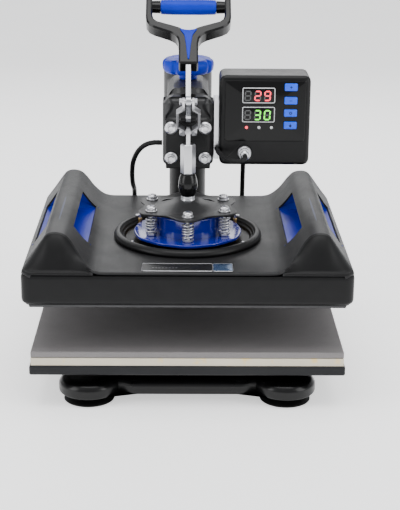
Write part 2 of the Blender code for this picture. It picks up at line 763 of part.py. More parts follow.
def make_liner(side, sign, joint):
    """The blue floor and end walls seen through a ridge's two hand windows."""
    outline = [
        (0.1840, 0.1795), (0.1800, 0.1890), (0.1670, 0.2070), (0.1530, 0.2070), (0.1400, 0.1900),
        (0.1330, 0.1855), (0.1290, 0.1795),
    ]
    liner = prism(
        f"window_liner_{side}", [(x * sign, z) for x, z in outline], (-0.068, 0.108), "blue", joint,
    )
    reach = sorted((0.11 * sign, 0.20 * sign))
    cut(liner, block(f"{side}_channel", reach, (-0.062, 0.102), (0.1855, 0.22), "blue", joint))


def make_platen_core(joint):
    """Heating plate, ring, blue disc with spring bolts, springs, lobed dome plate and the press shaft."""
    half, depth, middle = PAD_SIZE[0] / 2, PAD_SIZE[1] / 2, 0.003
    block(
        "heating_plate", (-half, half), (middle - depth, middle + depth), (0.132, 0.1462), "aluminium",
        joint, edge=0.001, segments=1,
    )
    turned(
        "ring_bezel",
        [(0.0940, 0.1788), (0.0930, 0.1840), (0.0875, 0.1880), (0.0810, 0.1860), (0.0798, 0.1765),
         (0.0480, 0.1765), (0.0480, 0.1735), (0.0835, 0.1735), (0.0835, 0.1788)],
        (0, 0, 0), "black_satin", joint, steps=36, ring=True,
    )
    disc = turned(
        "spring_disc",
        [
            (0, 0.1465), (0.0425, 0.1465), (0.0425, 0.1830), (0.0690, 0.1830), (0.0690, DISC_TOP),
            (0.0425, DISC_TOP), (0.0425, 0.2120), (0, 0.2120),
        ],
        (0, 0, 0), "blue", joint, steps=32,
    )
    plate = make_dome_plate(joint)
    for k in range(SPRING_COUNT):
        a = 2 * pi * k / SPRING_COUNT - pi / 2
        x, y = SPRING_CIRCLE * cos(a), SPRING_CIRCLE * sin(a)
        bolt = turned(
            f"spring_bolt_{k}",
            [
                (0, 0.184), (0.0028, 0.184), (0.0028, 0.2190), (0.0062, 0.2190), (0.0062, 0.2250),
                (0, 0.2250),
            ],
            (x, y, 0), "zinc", joint, steps=8,
        )
        join(disc, bolt)
        hole = rod(f"plate_hole_{k}", 0.0036, (0.20, 0.23), (x, y, 0), "black_satin", joint, steps=8)
        combine(plate, hole, "DIFFERENCE", "MANIFOLD")
        make_spring(f"spring_{k + 1}", x, y, joint)
    make_shaft(joint)


def make_dome_plate(joint):
    """A plate with six lobes, raised in the middle: the edge radius follows a cosine of six waves."""
    steps, wall = 36, 0.003
    rings = [(0.0079, 0.2268), (0.014, 0.2262), (0.046, 0.2186), (1.0, 0.2186)]
    points = []
    for radius, z in rings:
        for k in range(steps):
            a = 2 * pi * k / steps
            edge = 0.0620 + 0.0068 * cos(6 * (a + pi / 2))
            r = edge if radius == 1.0 else radius
            points.append((r * cos(a), r * sin(a), z))
    for index in range(len(points)):
        x, y, z = points[index]
        points.append((x, y, z - wall))
    layer = len(rings) * steps
    faces = []
    for k in range(steps):
        n = (k + 1) % steps
        for r in range(len(rings) - 1):
            quad = (r * steps + k, r * steps + n, (r + 1) * steps + n, (r + 1) * steps + k)
            faces += [quad, tuple(q + layer for q in reversed(quad))]
        faces.append((k, n, n + layer, k + layer))
        last = (len(rings) - 1) * steps
        faces.append((last + k, last + n, last + n + layer, last + k + layer))
    plate = mesh_piece("dome_plate", points, faces, "black_satin", joint)
    for sign in (-1, 1):
        slot = sorted((0.022 * sign, 0.036 * sign))
        opening = block(f"plate_slot_{sign}", slot, (0.016, 0.020), (0.20, 0.24), "black_satin", joint)
        combine(plate, opening, "DIFFERENCE", "MANIFOLD")
    return plate


def make_spring(name, x, y, joint):
    """A wire wound round a bolt: five and a half turns between the disc and the dome plate."""
    wire, mean, turns, steps = 0.0011, 0.0066, 5.5, 8
    low, high = DISC_TOP + GAP + wire, 0.2156 - GAP - wire
    count = round(turns * steps)
    places = []
    for k in range(count + 1):
        a = 2 * pi * k / steps
        places.append((x + mean * cos(a), y + mean * sin(a), low + (high - low) * k / count))
    tube(name, places, wire, "zinc", joint, resolution=0)


def make_shaft(joint):
    """Stud, nut, six-sided coupling and flat tang in one, with a black bell-shaped cap on the stud."""
    shaft = turned(
        "press_shaft",
        [(0, 0.2135), (0.0125, 0.2135), (0.0125, 0.2225), (0.0075, 0.2225), (0.0075, 0.2620), (0, 0.2620)],
        (0, 0, 0), "steel", joint, steps=24,
    )
    coupling = rod(
        "hex_coupling", 0.0090, (0.2603, LOWER_PIN_Z - 0.015), (0, 0, 0), "steel", joint, steps=6,
    )
    tang = block(
        "shaft_tang", (-0.0025, 0.0025), (-0.0065, 0.0065), (LOWER_PIN_Z - 0.017, LOWER_PIN_Z + 0.007),
        "steel", joint,
    )
    pin = rod("lower_pin", 0.003, (-0.0040, 0.0040), (0, 0, LOWER_PIN_Z), "zinc", joint, axis="X", steps=16)
    join(shaft, coupling, tang, pin)
    turned(
        "shaft_cap",
        [
            (0.0078, 0.2320), (0.0092, 0.2320), (0.0116, 0.2400), (0.0118, 0.2480), (0.0104, 0.2560),
            (0.0088, 0.2600), (0.0078, 0.2600),
        ],
        (0, 0, 0), "black_gloss", joint, steps=16, ring=True,
    )


def main():
    clear_scene()
    make_base()
    make_lower_platen()
    head = pivot("head_swing", (0, SHAFT_Y + COLUMN_BACK, 0.300))
    make_head(head)
    make_control_box(head)
    make_leads(head)
    make_mains_lead(head)
    handle = pivot("handle_hinge", (0, SHAFT_Y, PIVOT_Z), head)
    make_handle(handle)
    upper_pin = (0, SHAFT_Y - CRANK * sin(CRANK_LEAN), PIVOT_Z + CRANK * cos(CRANK_LEAN))
    make_straps(pivot("strap_hinge", upper_pin, handle))
    make_knob(pivot("knob_hinge", (0, SHAFT_Y + KNOB_BACK, 0.368), head))
    platen = pivot("platen_slide", (0, SHAFT_Y, HOUSING_BOTTOM), head)
    make_cover(platen)
    make_platen_core(platen)


main()
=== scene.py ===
# Heat press: the finished surfaces, materials, cords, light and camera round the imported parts.
import json
from math import cos, pi, radians, sin, tau

import bmesh
import bpy
import numpy as np
from mathutils import Matrix, Vector

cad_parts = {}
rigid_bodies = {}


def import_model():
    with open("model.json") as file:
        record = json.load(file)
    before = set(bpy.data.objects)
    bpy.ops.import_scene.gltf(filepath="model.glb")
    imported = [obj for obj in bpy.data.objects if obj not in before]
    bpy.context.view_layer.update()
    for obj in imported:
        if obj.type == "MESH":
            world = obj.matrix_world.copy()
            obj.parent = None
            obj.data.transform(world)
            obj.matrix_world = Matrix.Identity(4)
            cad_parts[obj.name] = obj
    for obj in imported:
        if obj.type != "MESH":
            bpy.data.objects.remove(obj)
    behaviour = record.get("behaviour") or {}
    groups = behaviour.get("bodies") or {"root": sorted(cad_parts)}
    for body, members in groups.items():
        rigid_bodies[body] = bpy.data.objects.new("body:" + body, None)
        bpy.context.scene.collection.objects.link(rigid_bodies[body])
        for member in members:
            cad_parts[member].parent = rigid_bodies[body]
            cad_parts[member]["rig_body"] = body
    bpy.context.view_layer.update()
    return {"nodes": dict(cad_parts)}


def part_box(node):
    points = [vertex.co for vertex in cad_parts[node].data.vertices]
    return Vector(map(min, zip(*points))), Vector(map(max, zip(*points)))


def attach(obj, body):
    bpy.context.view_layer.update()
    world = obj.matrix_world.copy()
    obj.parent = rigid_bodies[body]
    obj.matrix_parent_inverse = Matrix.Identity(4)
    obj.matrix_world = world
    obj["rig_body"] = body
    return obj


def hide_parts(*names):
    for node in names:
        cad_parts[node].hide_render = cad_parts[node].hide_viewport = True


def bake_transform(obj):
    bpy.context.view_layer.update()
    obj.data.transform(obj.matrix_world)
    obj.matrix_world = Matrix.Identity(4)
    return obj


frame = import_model()
nodes = frame["nodes"]
low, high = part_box("spring_disc")
shaftY = (low.y + high.y) / 2  # the press shaft's axis, from which depths are counted


def at(x, depth, z):
    # a place from its side offset, its depth behind the shaft and its height
    return np.array((x, depth + shaftY, z))


def bodyOf(node):
    return nodes[node]["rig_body"]


# ---- shells: points, quads, triangles and one texture coordinate for each corner ----


def shellOf(grid, wrapRound=True, wrapAlong=False, capped=True, holes=None):
    # grid[i, j] is a point; rows i run along the piece and columns j run round it
    rows, columns = grid.shape[:2]
    i, j = np.meshgrid(
        np.arange(rows - (not wrapAlong)), np.arange(columns - (not wrapRound)), indexing="ij",
    )
    nextI, nextJ = (i + 1) % rows, (j + 1) % columns
    quads = np.stack(
        [i * columns + j, i * columns + nextJ, nextI * columns + nextJ, nextI * columns + j], -1,
    )
    along = np.concatenate([[0], np.cumsum(np.linalg.norm(np.diff(grid[:, 0], axis=0), axis=-1))])
    along = np.append(along, along[-1])
    widest = grid[np.argmax(np.ptp(grid[:, :, :], axis=1).sum(-1))]
    across = np.concatenate([[0], np.cumsum(np.linalg.norm(widest - np.roll(widest, -1, 0), axis=-1))])
    uv = np.stack(
        [np.stack([across[j + dj], along[i + di]], -1) for di, dj in ((0, 0), (0, 1), (1, 1), (1, 0))], 2,
    )
    keep = np.ones(i.shape, bool) if holes is None else ~holes
    quads, uv = quads[keep], uv[keep]
    points = grid.reshape(-1, 3)
    triangles, uvTriangles = np.zeros((0, 3), int), np.zeros((0, 3, 2))
    if capped and wrapRound and not wrapAlong:
        ends = np.stack([grid[0].mean(0), grid[-1].mean(0)])
        k = np.arange(columns)
        first = np.stack([np.full(columns, len(points)), (k + 1) % columns, k], -1)
        start = (rows - 1) * columns
        last = np.stack([np.full(columns, len(points) + 1), start + k, start + (k + 1) % columns], -1)
        triangles = np.concatenate([first, last])
        points = np.concatenate([points, ends])
        uvTriangles = points[triangles][:, :, :2]
    closed = capped or (wrapRound and wrapAlong)
    shell = (points, quads.reshape(-1, 4), triangles, uv.reshape(-1, 4, 2), uvTriangles)
    return outward(shell) if closed and holes is None else shell


def outward(shell):
    # six times the volume, summed as signed tetrahedra, is negative where the faces point in
    points, quads, triangles, uv, uvTriangles = shell
    every = np.concatenate([quads[:, [0, 1, 2]], quads[:, [0, 2, 3]], triangles])
    corners = points[every] - points.mean(0)
    if np.linalg.det(corners).sum() >= 0:
        return shell
    return points, quads[:, ::-1], triangles[:, ::-1], uv[:, ::-1], uvTriangles[:, ::-1]


def joined(*shells):
    counts = np.cumsum([0] + [len(shell[0]) for shell in shells])
    points = np.concatenate([shell[0] for shell in shells])
    quads = np.concatenate([shell[1] + start for shell, start in zip(shells, counts)])
    triangles = np.concatenate([shell[2] + start for shell, start in zip(shells, counts)])
    return points, quads, triangles, *(np.concatenate([shell[k] for shell in shells]) for k in (3, 4))


def moved(shell, matrix):
    # every point turned and shifted by one matrix
    grid = np.array(matrix)
    return (shell[0] @ grid[:3, :3].T + grid[:3, 3], *shell[1:])


def makePiece(name, shell, finish, body, replaced=(), sharp=38):
    points, quads, triangles, uv, uvTriangles = shell
    mesh = bpy.data.meshes.new(name)
    corners = np.concatenate([quads.ravel(), triangles.ravel()]).astype(np.int32)
    sizes = np.concatenate([np.full(len(quads), 4), np.full(len(triangles), 3)])
    mesh.vertices.add(len(points))
    mesh.vertices.foreach_set("co", points.astype(np.float32).ravel())
    mesh.loops.add(len(corners))
    mesh.loops.foreach_set("vertex_index", corners)
    mesh.polygons.add(len(sizes))
    mesh.polygons.foreach_set("loop_start", (np.cumsum(sizes) - sizes).astype(np.int32))
    mesh.update(calc_edges=True)
    layer = mesh.uv_layers.new(name="surface")
    layer.data.foreach_set("uv", np.concatenate([uv.ravel(), uvTriangles.ravel()]).astype(np.float32))
    mesh.shade_smooth()
    if sharp:
        mesh.set_sharp_from_angle(angle=radians(sharp))
    obj = bpy.data.objects.new(name, mesh)
    bpy.context.scene.collection.objects.link(obj)
    mesh.materials.append(finish)
    return dress(obj, body, replaced)


def dress(obj, body, replaced):
    if body:
        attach(obj, body)
    if replaced:
        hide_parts(*replaced)
    return obj


def roundedLine(corners, radius, closed=True, steps=5):
    # each corner gives way to a parabola between two places, one radius from it along its two sides
    p = np.array(corners, float)
    back, ahead = np.roll(p, 1, 0) - p, np.roll(p, -1, 0) - p
    lengthBack, lengthAhead = np.linalg.norm(back, axis=1), np.linalg.norm(ahead, axis=1)
    reach = np.minimum(np.broadcast_to(radius, len(p)), 0.48 * np.minimum(lengthBack, lengthAhead)).copy()
    if not closed:
        reach[[0, -1]] = 0
    a = p + back * (reach / lengthBack)[:, None]
    b = p + ahead * (reach / lengthAhead)[:, None]
    t = np.linspace(0, 1, steps)[None, :, None]
    line = ((1 - t) ** 2 * a[:, None] + 2 * t * (1 - t) * p[:, None] + t * t * b[:, None]).reshape(
        -1, p.shape[1],
    )
    keep = np.linalg.norm(line - np.roll(line, 1, 0), axis=1) > 1e-7
    return line[keep] if closed else np.concatenate([line[:1], line[1:][keep[1:]]])


def turned(profile, centre, axis="Z", steps=72, ring=False, radiusOf=None):
    # a profile of (radius, height) carried round an axis; radiusOf scales the radius by the angle
    line = np.array(profile, float)
    angle = np.linspace(0, tau, steps, endpoint=False)
    scale = np.ones(steps) if radiusOf is None else radiusOf(angle)
    radius = line[:, :1] * scale[None]
    height = np.broadcast_to(line[:, 1:], radius.shape)
    a, b = radius * np.cos(angle), radius * np.sin(angle)
    order = {"Z": (a, b, height), "Y": (b, height, a), "X": (height, a, b)}[axis]
    return shellOf(np.stack(order, -1) + np.array(centre), wrapAlong=ring)


def smoothPath(points, spacing):
    # a Catmull-Rom curve through the points, read at an even spacing
    p = np.array(points, float)
    p = np.concatenate([[2 * p[0] - p[1]], p, [2 * p[-1] - p[-2]]])
    a, b, c, d = (p[k:len(p) - 3 + k, None] for k in range(4))
    t = np.linspace(0, 1, 24, endpoint=False)[None, :, None]
    curve = 0.5 * (
        2 * b + (c - a) * t + (2 * a - 5 * b + 4 * c - d) * t**2 + (3 * b - a - 3 * c + d) * t**3
    )
    curve = np.concatenate([curve.reshape(-1, 3), p[-2:-1]])
    along = np.concatenate([[0], np.cumsum(np.linalg.norm(np.diff(curve, axis=0), axis=1))])
    wanted = np.linspace(0, along[-1], max(2, round(along[-1] / spacing) + 1))
    return np.stack([np.interp(wanted, along, curve[:, k]) for k in range(3)], -1)


def framesOf(path):
    # two crosswise directions at each station, carried along with no twist
    tangent = np.gradient(path, axis=0)
    tangent /= np.linalg.norm(tangent, axis=1, keepdims=True)
    side = np.cross(tangent[0], (0.31, 0.17, 0.94))
    sides = []
    for direction in tangent:
        side = side - direction * (side @ direction)
        side = side / np.linalg.norm(side)
        sides.append(side)
    sides = np.array(sides)
    return sides, np.cross(tangent, sides)


def swept(path, radius, sides=14, relief=None, closed=False):
    # a circle carried along a path; relief(angle, station) scales its radius
    path = np.array(path, float)
    u, v = framesOf(path)
    angle = np.linspace(0, tau, sides, endpoint=False)[None]
    size = np.broadcast_to(np.array(radius, float).reshape(-1, 1), (len(path), 1))
    size = size * (
        np.ones((len(path), sides)) if relief is None else relief(angle, np.arange(len(path))[:, None])
    )
    grid = path[:, None] + u[:, None] * (size * np.cos(angle))[..., None] + v[:, None] * (
        size * np.sin(angle)
    )[
        ..., None,
    ]
    return shellOf(grid, wrapAlong=closed)


def slab(outline, profile, place):
    # an outline shrunk towards its inside by each profile row's inset, at that row's level
    line = np.array(outline, float)
    edge = np.roll(line, -1, 0) - np.roll(line, 1, 0)
    normal = np.stack([edge[:, 1], -edge[:, 0]], -1) / np.linalg.norm(edge, axis=1, keepdims=True)
    area = (line[:, 0] * np.roll(line[:, 1], -1) - line[:, 1] * np.roll(line[:, 0], -1)).sum()
    normal = normal * np.sign(area)
    rows = np.array(profile, float)
    flat = line[None] - normal[None] * rows[:, :1, None]
    level = np.broadcast_to(rows[:, 1, None], flat.shape[:2])
    return shellOf(place(flat[..., 0], flat[..., 1], level))


def upright(x, depth, z):
    # an outline of (side, depth), raised
    return np.stack([x, depth + shaftY, z], -1)


def facing(x, z, depth):
    # an outline of (side, height), pushed back
    return np.stack([x, depth + shaftY, z], -1)


def roundedBox(x, y, radius, steps=7):
    return roundedLine([(x[0], y[0]), (x[1], y[0]), (x[1], y[1]), (x[0], y[1])], radius, steps=steps)


def hexagon(angle):
    # how far a unit hexagon lies from its centre: one over the cosine of the angle from the nearest flat
    return 1 / np.cos((angle % (pi / 3)) - pi / 6)


def edgeRows(near, far, edge, steps=4):
    # inset and level rows of a slab whose two rims are quarter rounds
    quarter = np.linspace(0, pi / 2, steps)
    sign = np.sign(far - near)
    start = np.stack([edge * (1 - np.sin(quarter)), near + sign * edge * (1 - np.cos(quarter))], -1)
    end = np.stack([edge * (1 - np.cos(quarter)), far - sign * edge * (1 - np.sin(quarter))], -1)
    return np.concatenate([start, end])


# ---- materials ----


def groupOf(name, inputs, outputs):
    tree = bpy.data.node_groups.new(name, "ShaderNodeTree")
    for label, kind, value in inputs:
        socket = tree.interface.new_socket(label, in_out="INPUT", socket_type=kind)
        if value is not None:
            socket.default_value = value
    for label, kind in outputs:
        tree.interface.new_socket(label, in_out="OUTPUT", socket_type=kind)
    return tree, tree.nodes.new("NodeGroupInput"), tree.nodes.new("NodeGroupOutput")


def addNode(tree, kind, wires=(), **settings):
    # wires pair a socket's name or number with a value or with another node's output
    node = tree.nodes.new(kind)
    for key, value in settings.items():
        setattr(node, key, value)
    for socket, value in wires:
        if isinstance(value, bpy.types.NodeSocket):
            tree.links.new(value, node.inputs[socket])
        else:
            node.inputs[socket].default_value = value
    return node


def grainGroup():
    # height and tone: fine noise for the skin's texture over a slower one for its unevenness
    tree, source, sink = groupOf(
        "finishGrain",
        [
            ("Vector", "NodeSocketVector", None), ("Scale", "NodeSocketFloat", 900.0),
            ("Unevenness", "NodeSocketFloat", 0.3),
        ],
        [("Height", "NodeSocketFloat"), ("Tone", "NodeSocketFloat")],
    )
    fine = addNode(
        tree, "ShaderNodeTexNoise",
        [("Vector", source.outputs[0]), ("Scale", source.outputs[1]), ("Detail", 3.0)],
    )
    slowScale = addNode(tree, "ShaderNodeMath", [(0, source.outputs[1]), (1, 0.03)], operation="MULTIPLY")
    slow = addNode(
        tree, "ShaderNodeTexNoise",
        [("Vector", source.outputs[0]), ("Scale", slowScale.outputs[0]), ("Detail", 4.0)],
    )
    mixed = addNode(
        tree, "ShaderNodeMix",
        [("Factor", source.outputs[2]), (2, fine.outputs[0]), (3, slow.outputs[0])], data_type="FLOAT",
    )
    tree.links.new(mixed.outputs[0], sink.inputs["Height"])
    tree.links.new(slow.outputs[0], sink.inputs["Tone"])
    return tree


def sheenGroup():
    # roughness that wanders between two values, as on a surface that has been handled and wiped
    tree, source, sink = groupOf(
        "wipedSheen",
        [
            ("Vector", "NodeSocketVector", None), ("Low", "NodeSocketFloat", 0.3),
            ("High", "NodeSocketFloat", 0.5),
        ],
        [("Roughness", "NodeSocketFloat")],
    )
    cloud = addNode(
        tree, "ShaderNodeTexNoise",
        [("Vector", source.outputs[0]), ("Scale", 24.0), ("Detail", 6.0), ("Roughness", 0.62)],
    )
    spread = addNode(
        tree, "ShaderNodeMapRange",
        [
            ("Value", cloud.outputs[0]), ("From Min", 0.3), ("From Max", 0.7),
            ("To Min", source.outputs[1]), ("To Max", source.outputs[2]),
        ],
    )
    tree.links.new(spread.outputs[0], sink.inputs["Roughness"])
    return tree


def edgeHighlightGroup():
    # a mask along raised edges, broken up by noise, where a lighter colour is painted on as the edges'
    # highlight
    tree, source, sink = groupOf(
        "paintedEdgeHighlight",
        [("Vector", "NodeSocketVector", None), ("Amount", "NodeSocketFloat", 0.3)],
        [("Mask", "NodeSocketFloat")],
    )
    geometry = addNode(tree, "ShaderNodeNewGeometry")
    raised = addNode(
        tree, "ShaderNodeMapRange",
        [("Value", geometry.outputs["Pointiness"]), ("From Min", 0.53), ("From Max", 0.66)],
    )
    patchy = addNode(
        tree, "ShaderNodeTexNoise", [("Vector", source.outputs[0]), ("Scale", 140.0), ("Detail", 5.0)],
    )
    broken = addNode(
        tree, "ShaderNodeMath", [(0, raised.outputs[0]), (1, patchy.outputs[0])], operation="MULTIPLY",
    )
    scaled = addNode(
        tree, "ShaderNodeMath", [(0, broken.outputs[0]), (1, source.outputs[1])], operation="MULTIPLY",
    )
    tree.links.new(scaled.outputs[0], sink.inputs["Mask"])
    return tree


grainTree, sheenTree, edgeHighlightTree = grainGroup(), sheenGroup(), edgeHighlightGroup()

# colour, painted edge-highlight colour, roughness span, metal, coat, grain scale and depth, unevenness, tone
# shift and painted edge-highlight amount
finishes = {
    "glossBlack": dict(
        colour=(0.0018, 0.0018, 0.0020), edgeHighlightColour=(0.06, 0.06, 0.062), rough=(0.16, 0.26), coat=0.12,
        grain=700, depth=0.010, uneven=0.7, tone=0.3, edgeHighlightAmount=0.35, gleam=0.22,
    ),
    "enamelBlack": dict(
        colour=(0.0018, 0.0018, 0.0020), edgeHighlightColour=(0.07, 0.07, 0.07), rough=(0.24, 0.36), coat=0.12,
        grain=420, depth=0.02, uneven=0.6, tone=0.35, edgeHighlightAmount=0.4, gleam=0.22,
    ),
    "satinCover": dict(
        colour=(0.0115, 0.0115, 0.0122), edgeHighlightColour=(0.10, 0.10, 0.105), rough=(0.38, 0.48), grain=2100,
        depth=0.10, uneven=0.15, tone=0.30, edgeHighlightAmount=0.5, gleam=0.22,
    ),
    "satinHousing": dict(
        colour=(0.0055, 0.0055, 0.0058), edgeHighlightColour=(0.09, 0.09, 0.095), rough=(0.36, 0.46), grain=2100,
        depth=0.08, uneven=0.15, tone=0.30, edgeHighlightAmount=0.5, gleam=0.16,
    ),
    "satinTrim": dict(
        colour=(0.0050, 0.0050, 0.0053), edgeHighlightColour=(0.08, 0.08, 0.08), rough=(0.30, 0.42), grain=1500,
        depth=0.06, uneven=0.2, tone=0.3, edgeHighlightAmount=0.4, gleam=0.20,
    ),
    "powderBlack": dict(
        colour=(0.0060, 0.0060, 0.0063), edgeHighlightColour=(0.09, 0.09, 0.09), rough=(0.34, 0.46), grain=900,
        depth=0.12, uneven=0.3, tone=0.35, edgeHighlightAmount=0.5, gleam=0.22,
    ),
    "trayBlack": dict(
        colour=(0.0090, 0.0095, 0.0108), edgeHighlightColour=(0.09, 0.09, 0.09), rough=(0.42, 0.55), grain=900,
        depth=0.10, uneven=0.3, tone=0.3, edgeHighlightAmount=0.5, gleam=0.2,
    ),
    "castCharcoal": dict(
        colour=(0.032, 0.032, 0.0330), edgeHighlightColour=(0.19, 0.19, 0.19), rough=(0.34, 0.46), grain=800,
        depth=0.14, uneven=0.45, tone=0.35, edgeHighlightAmount=0.7, gleam=0.3,
    ),
    "domeCharcoal": dict(
        colour=(0.0160, 0.0160, 0.0168), edgeHighlightColour=(0.22, 0.22, 0.22), rough=(0.30, 0.40), grain=1300,
        depth=0.10, uneven=0.25, tone=0.3, edgeHighlightAmount=0.9, gleam=0.28,
    ),
    "bluePlastic": dict(
        colour=(0.0006, 0.020, 0.430), edgeHighlightColour=(0.05, 0.18, 0.85), rough=(0.34, 0.44), grain=1300,
        depth=0.06, uneven=0.25, tone=0.18, edgeHighlightAmount=0.5, gleam=0.18,
    ),
    "blueLiner": dict(
        colour=(0.0006, 0.009, 0.300), edgeHighlightColour=(0.05, 0.15, 0.8), rough=(0.30, 0.40), grain=1300,
        depth=0.05, uneven=0.25, tone=0.2, edgeHighlightAmount=0.3, gleam=0.2,
    ),
    "blueEnamel": dict(
        colour=(0.0008, 0.008, 0.250), edgeHighlightColour=(0.04, 0.14, 0.8), rough=(0.12, 0.20), coat=0.7, grain=300,
        depth=0.015, uneven=0.8, tone=0.15, edgeHighlightAmount=0.3, gleam=0.4,
    ),
    "zinc": dict(
        colour=(0.66, 0.66, 0.68), edgeHighlightColour=(0.85, 0.85, 0.86), rough=(0.28, 0.40), metal=1, grain=500,
        depth=0.05, uneven=0.5, tone=0.25, edgeHighlightAmount=0.5,
    ),
    "machinedSteel": dict(
        colour=(0.50, 0.51, 0.53), edgeHighlightColour=(0.75, 0.75, 0.76), rough=(0.22, 0.34), metal=1, grain=800,
        depth=0.05, uneven=0.3, tone=0.25, edgeHighlightAmount=0.5,
    ),
    "platedAluminium": dict(
        colour=(0.05, 0.05, 0.052), edgeHighlightColour=(0.6, 0.6, 0.6), rough=(0.36, 0.5), metal=1, grain=900,
        depth=0.06, uneven=0.3, tone=0.2, edgeHighlightAmount=0.4, gleam=0.3,
    ),
    "bronze": dict(
        colour=(0.42, 0.27, 0.11), edgeHighlightColour=(0.7, 0.5, 0.25), rough=(0.25, 0.4), metal=1, grain=700,
        depth=0.05, uneven=0.3, tone=0.25, edgeHighlightAmount=0.5,
    ),
    "blackRubber": dict(
        colour=(0.0035, 0.0035, 0.0035), edgeHighlightColour=(0.05, 0.05, 0.05), rough=(0.45, 0.6), grain=1600,
        depth=0.12, uneven=0.2, tone=0.35, edgeHighlightAmount=0.3, gleam=0.2,
    ),
    "circuitGreen": dict(
        colour=(0.01, 0.09, 0.04), edgeHighlightColour=(0.1, 0.3, 0.15), rough=(0.3, 0.45), grain=900, depth=0.05,
        uneven=0.3, tone=0.3, edgeHighlightAmount=0.2,
    ),
    "buttonBlue": dict(
        colour=(0.004, 0.080, 0.850), edgeHighlightColour=(0.2, 0.45, 1.0), rough=(0.30, 0.40), grain=1500, depth=0.03,
        uneven=0.3, tone=0.1, edgeHighlightAmount=0.3, gleam=0.3,
    ),
    "panelGloss": dict(
        colour=(0.0010, 0.0010, 0.0012), edgeHighlightColour=(0.05, 0.05, 0.05), rough=(0.10, 0.18), coat=0.1,
        grain=500, depth=0.006, uneven=0.6, tone=0.2, edgeHighlightAmount=0.3, gleam=0.16,
    ),
    "cordBlack": dict(
        colour=(0.0025, 0.0025, 0.0025), edgeHighlightColour=(0.04, 0.04, 0.04), rough=(0.36, 0.48), grain=1800,
        depth=0.08, uneven=0.2, tone=0.3, edgeHighlightAmount=0.2, gleam=0.15,
    ),
    "inkWhite": dict(
        colour=(0.55, 0.56, 0.57), edgeHighlightColour=(0.8, 0.8, 0.8), rough=(0.35, 0.45), grain=1500, depth=0.03,
        uneven=0.3, tone=0.12, edgeHighlightAmount=0.2,
    ),
    # near-black blue for printed marks, and for painted shade in slots, holes, seats, vents and grooves
    "darkPrintAndShade": dict(
        colour=(0.006, 0.012, 0.05), edgeHighlightColour=(0.02, 0.03, 0.1), rough=(0.4, 0.5), grain=1500, depth=0.03,
        uneven=0.3, tone=0.2, edgeHighlightAmount=0.2,
    ),
    "unlitSegment": dict(
        colour=(0.060, 0.062, 0.062), edgeHighlightColour=(0.1, 0.1, 0.1), rough=(0.3, 0.4), grain=1500, depth=0.02,
        uneven=0.3, tone=0.2, edgeHighlightAmount=0.1,
    ),
    "badgeBlue": dict(
        colour=(0.060, 0.110, 0.210), edgeHighlightColour=(0.3, 0.35, 0.45), rough=(0.2, 0.3), metal=0.6, grain=700,
        depth=0.02, uneven=0.5, tone=0.3, edgeHighlightAmount=0.3,
    ),
}


def objectVector(tree):
    return tree.nodes.new("ShaderNodeTexCoord").outputs["Object"]


def startMaterial(name):
    material = bpy.data.materials.new(name)
    material.use_nodes = True
    tree = material.node_tree
    return material, tree, tree.nodes["Principled BSDF"]


def placeGroup(tree, group, wires):
    node = addNode(tree, "ShaderNodeGroup", node_tree=group)
    for socket, value in wires:
        if isinstance(value, bpy.types.NodeSocket):
            tree.links.new(value, node.inputs[socket])
        else:
            node.inputs[socket].default_value = value
    return node


def mixColours(tree, factor, first, second, blend="MIX"):
    return addNode(
        tree, "ShaderNodeMix", [("Factor", factor), (6, first), (7, second)], data_type="RGBA",
            blend_type=blend
    ).outputs[2]


def bumpOf(tree, height, strength, distance):
    return addNode(
        tree, "ShaderNodeBump", [("Height", height), ("Strength", strength), ("Distance", distance)]
    ).outputs[0]


def rgba(colour):
    return (*colour, 1)


def makeFinish(name, colour, edgeHighlightColour, rough, grain, depth, uneven, tone, edgeHighlightAmount, metal=0, coat=0, gleam=0.5):
    material, tree, shader = startMaterial(name)
    vector = objectVector(tree)
    texture = placeGroup(
        tree, grainTree, [("Vector", vector), ("Scale", float(grain)), ("Unevenness", uneven)],
    )
    wiped = placeGroup(tree, sheenTree, [("Vector", vector), ("Low", rough[0]), ("High", rough[1])])
    # painted highlight: a lighter colour along raised edges
    edge = placeGroup(tree, edgeHighlightTree, [("Vector", vector), ("Amount", edgeHighlightAmount)])
    dark = tuple(value * (1 - tone) for value in colour)
    light = tuple(min(1, value * (1 + tone)) for value in colour)
    base = mixColours(tree, texture.outputs["Tone"], rgba(dark), rgba(light))
    tree.links.new(mixColours(tree, edge.outputs["Mask"], base, rgba(edgeHighlightColour)), shader.inputs["Base Color"])
    tree.links.new(wiped.outputs[0], shader.inputs["Roughness"])
    tree.links.new(
        bumpOf(tree, texture.outputs["Height"], min(1.0, depth * 3), 0.0006), shader.inputs["Normal"],
    )
    shader.inputs["Metallic"].default_value = metal
    shader.inputs["Coat Weight"].default_value = coat
    shader.inputs["Specular IOR Level"].default_value = gleam
    shader.inputs["Coat Roughness"].default_value = 0.08
    return material


looks = {name: makeFinish(name, **values) for name, values in finishes.items()}


def makeGlow(name, colour, strength):
    # a lit segment: a soft unevenness across its glow
    material, tree, shader = startMaterial(name)
    cloud = addNode(tree, "ShaderNodeTexNoise", [("Vector", objectVector(tree)), ("Scale", 700.0)])
    bright = tuple(min(1, value * 1.25 + 0.04) for value in colour)
    lit = mixColours(tree, cloud.outputs[0], rgba(colour), rgba(bright))
    tree.links.new(lit, shader.inputs["Base Color"])
    tree.links.new(lit, shader.inputs["Emission Color"])
    shader.inputs["Emission Strength"].default_value = strength
    shader.inputs["Roughness"].default_value = 0.35
    return material


looks["redGlow"] = makeGlow("redGlow", (1.0, 0.03, 0.06), 1.6)
looks["greenGlow"] = makeGlow("greenGlow", (0.10, 0.95, 0.02), 1.3)


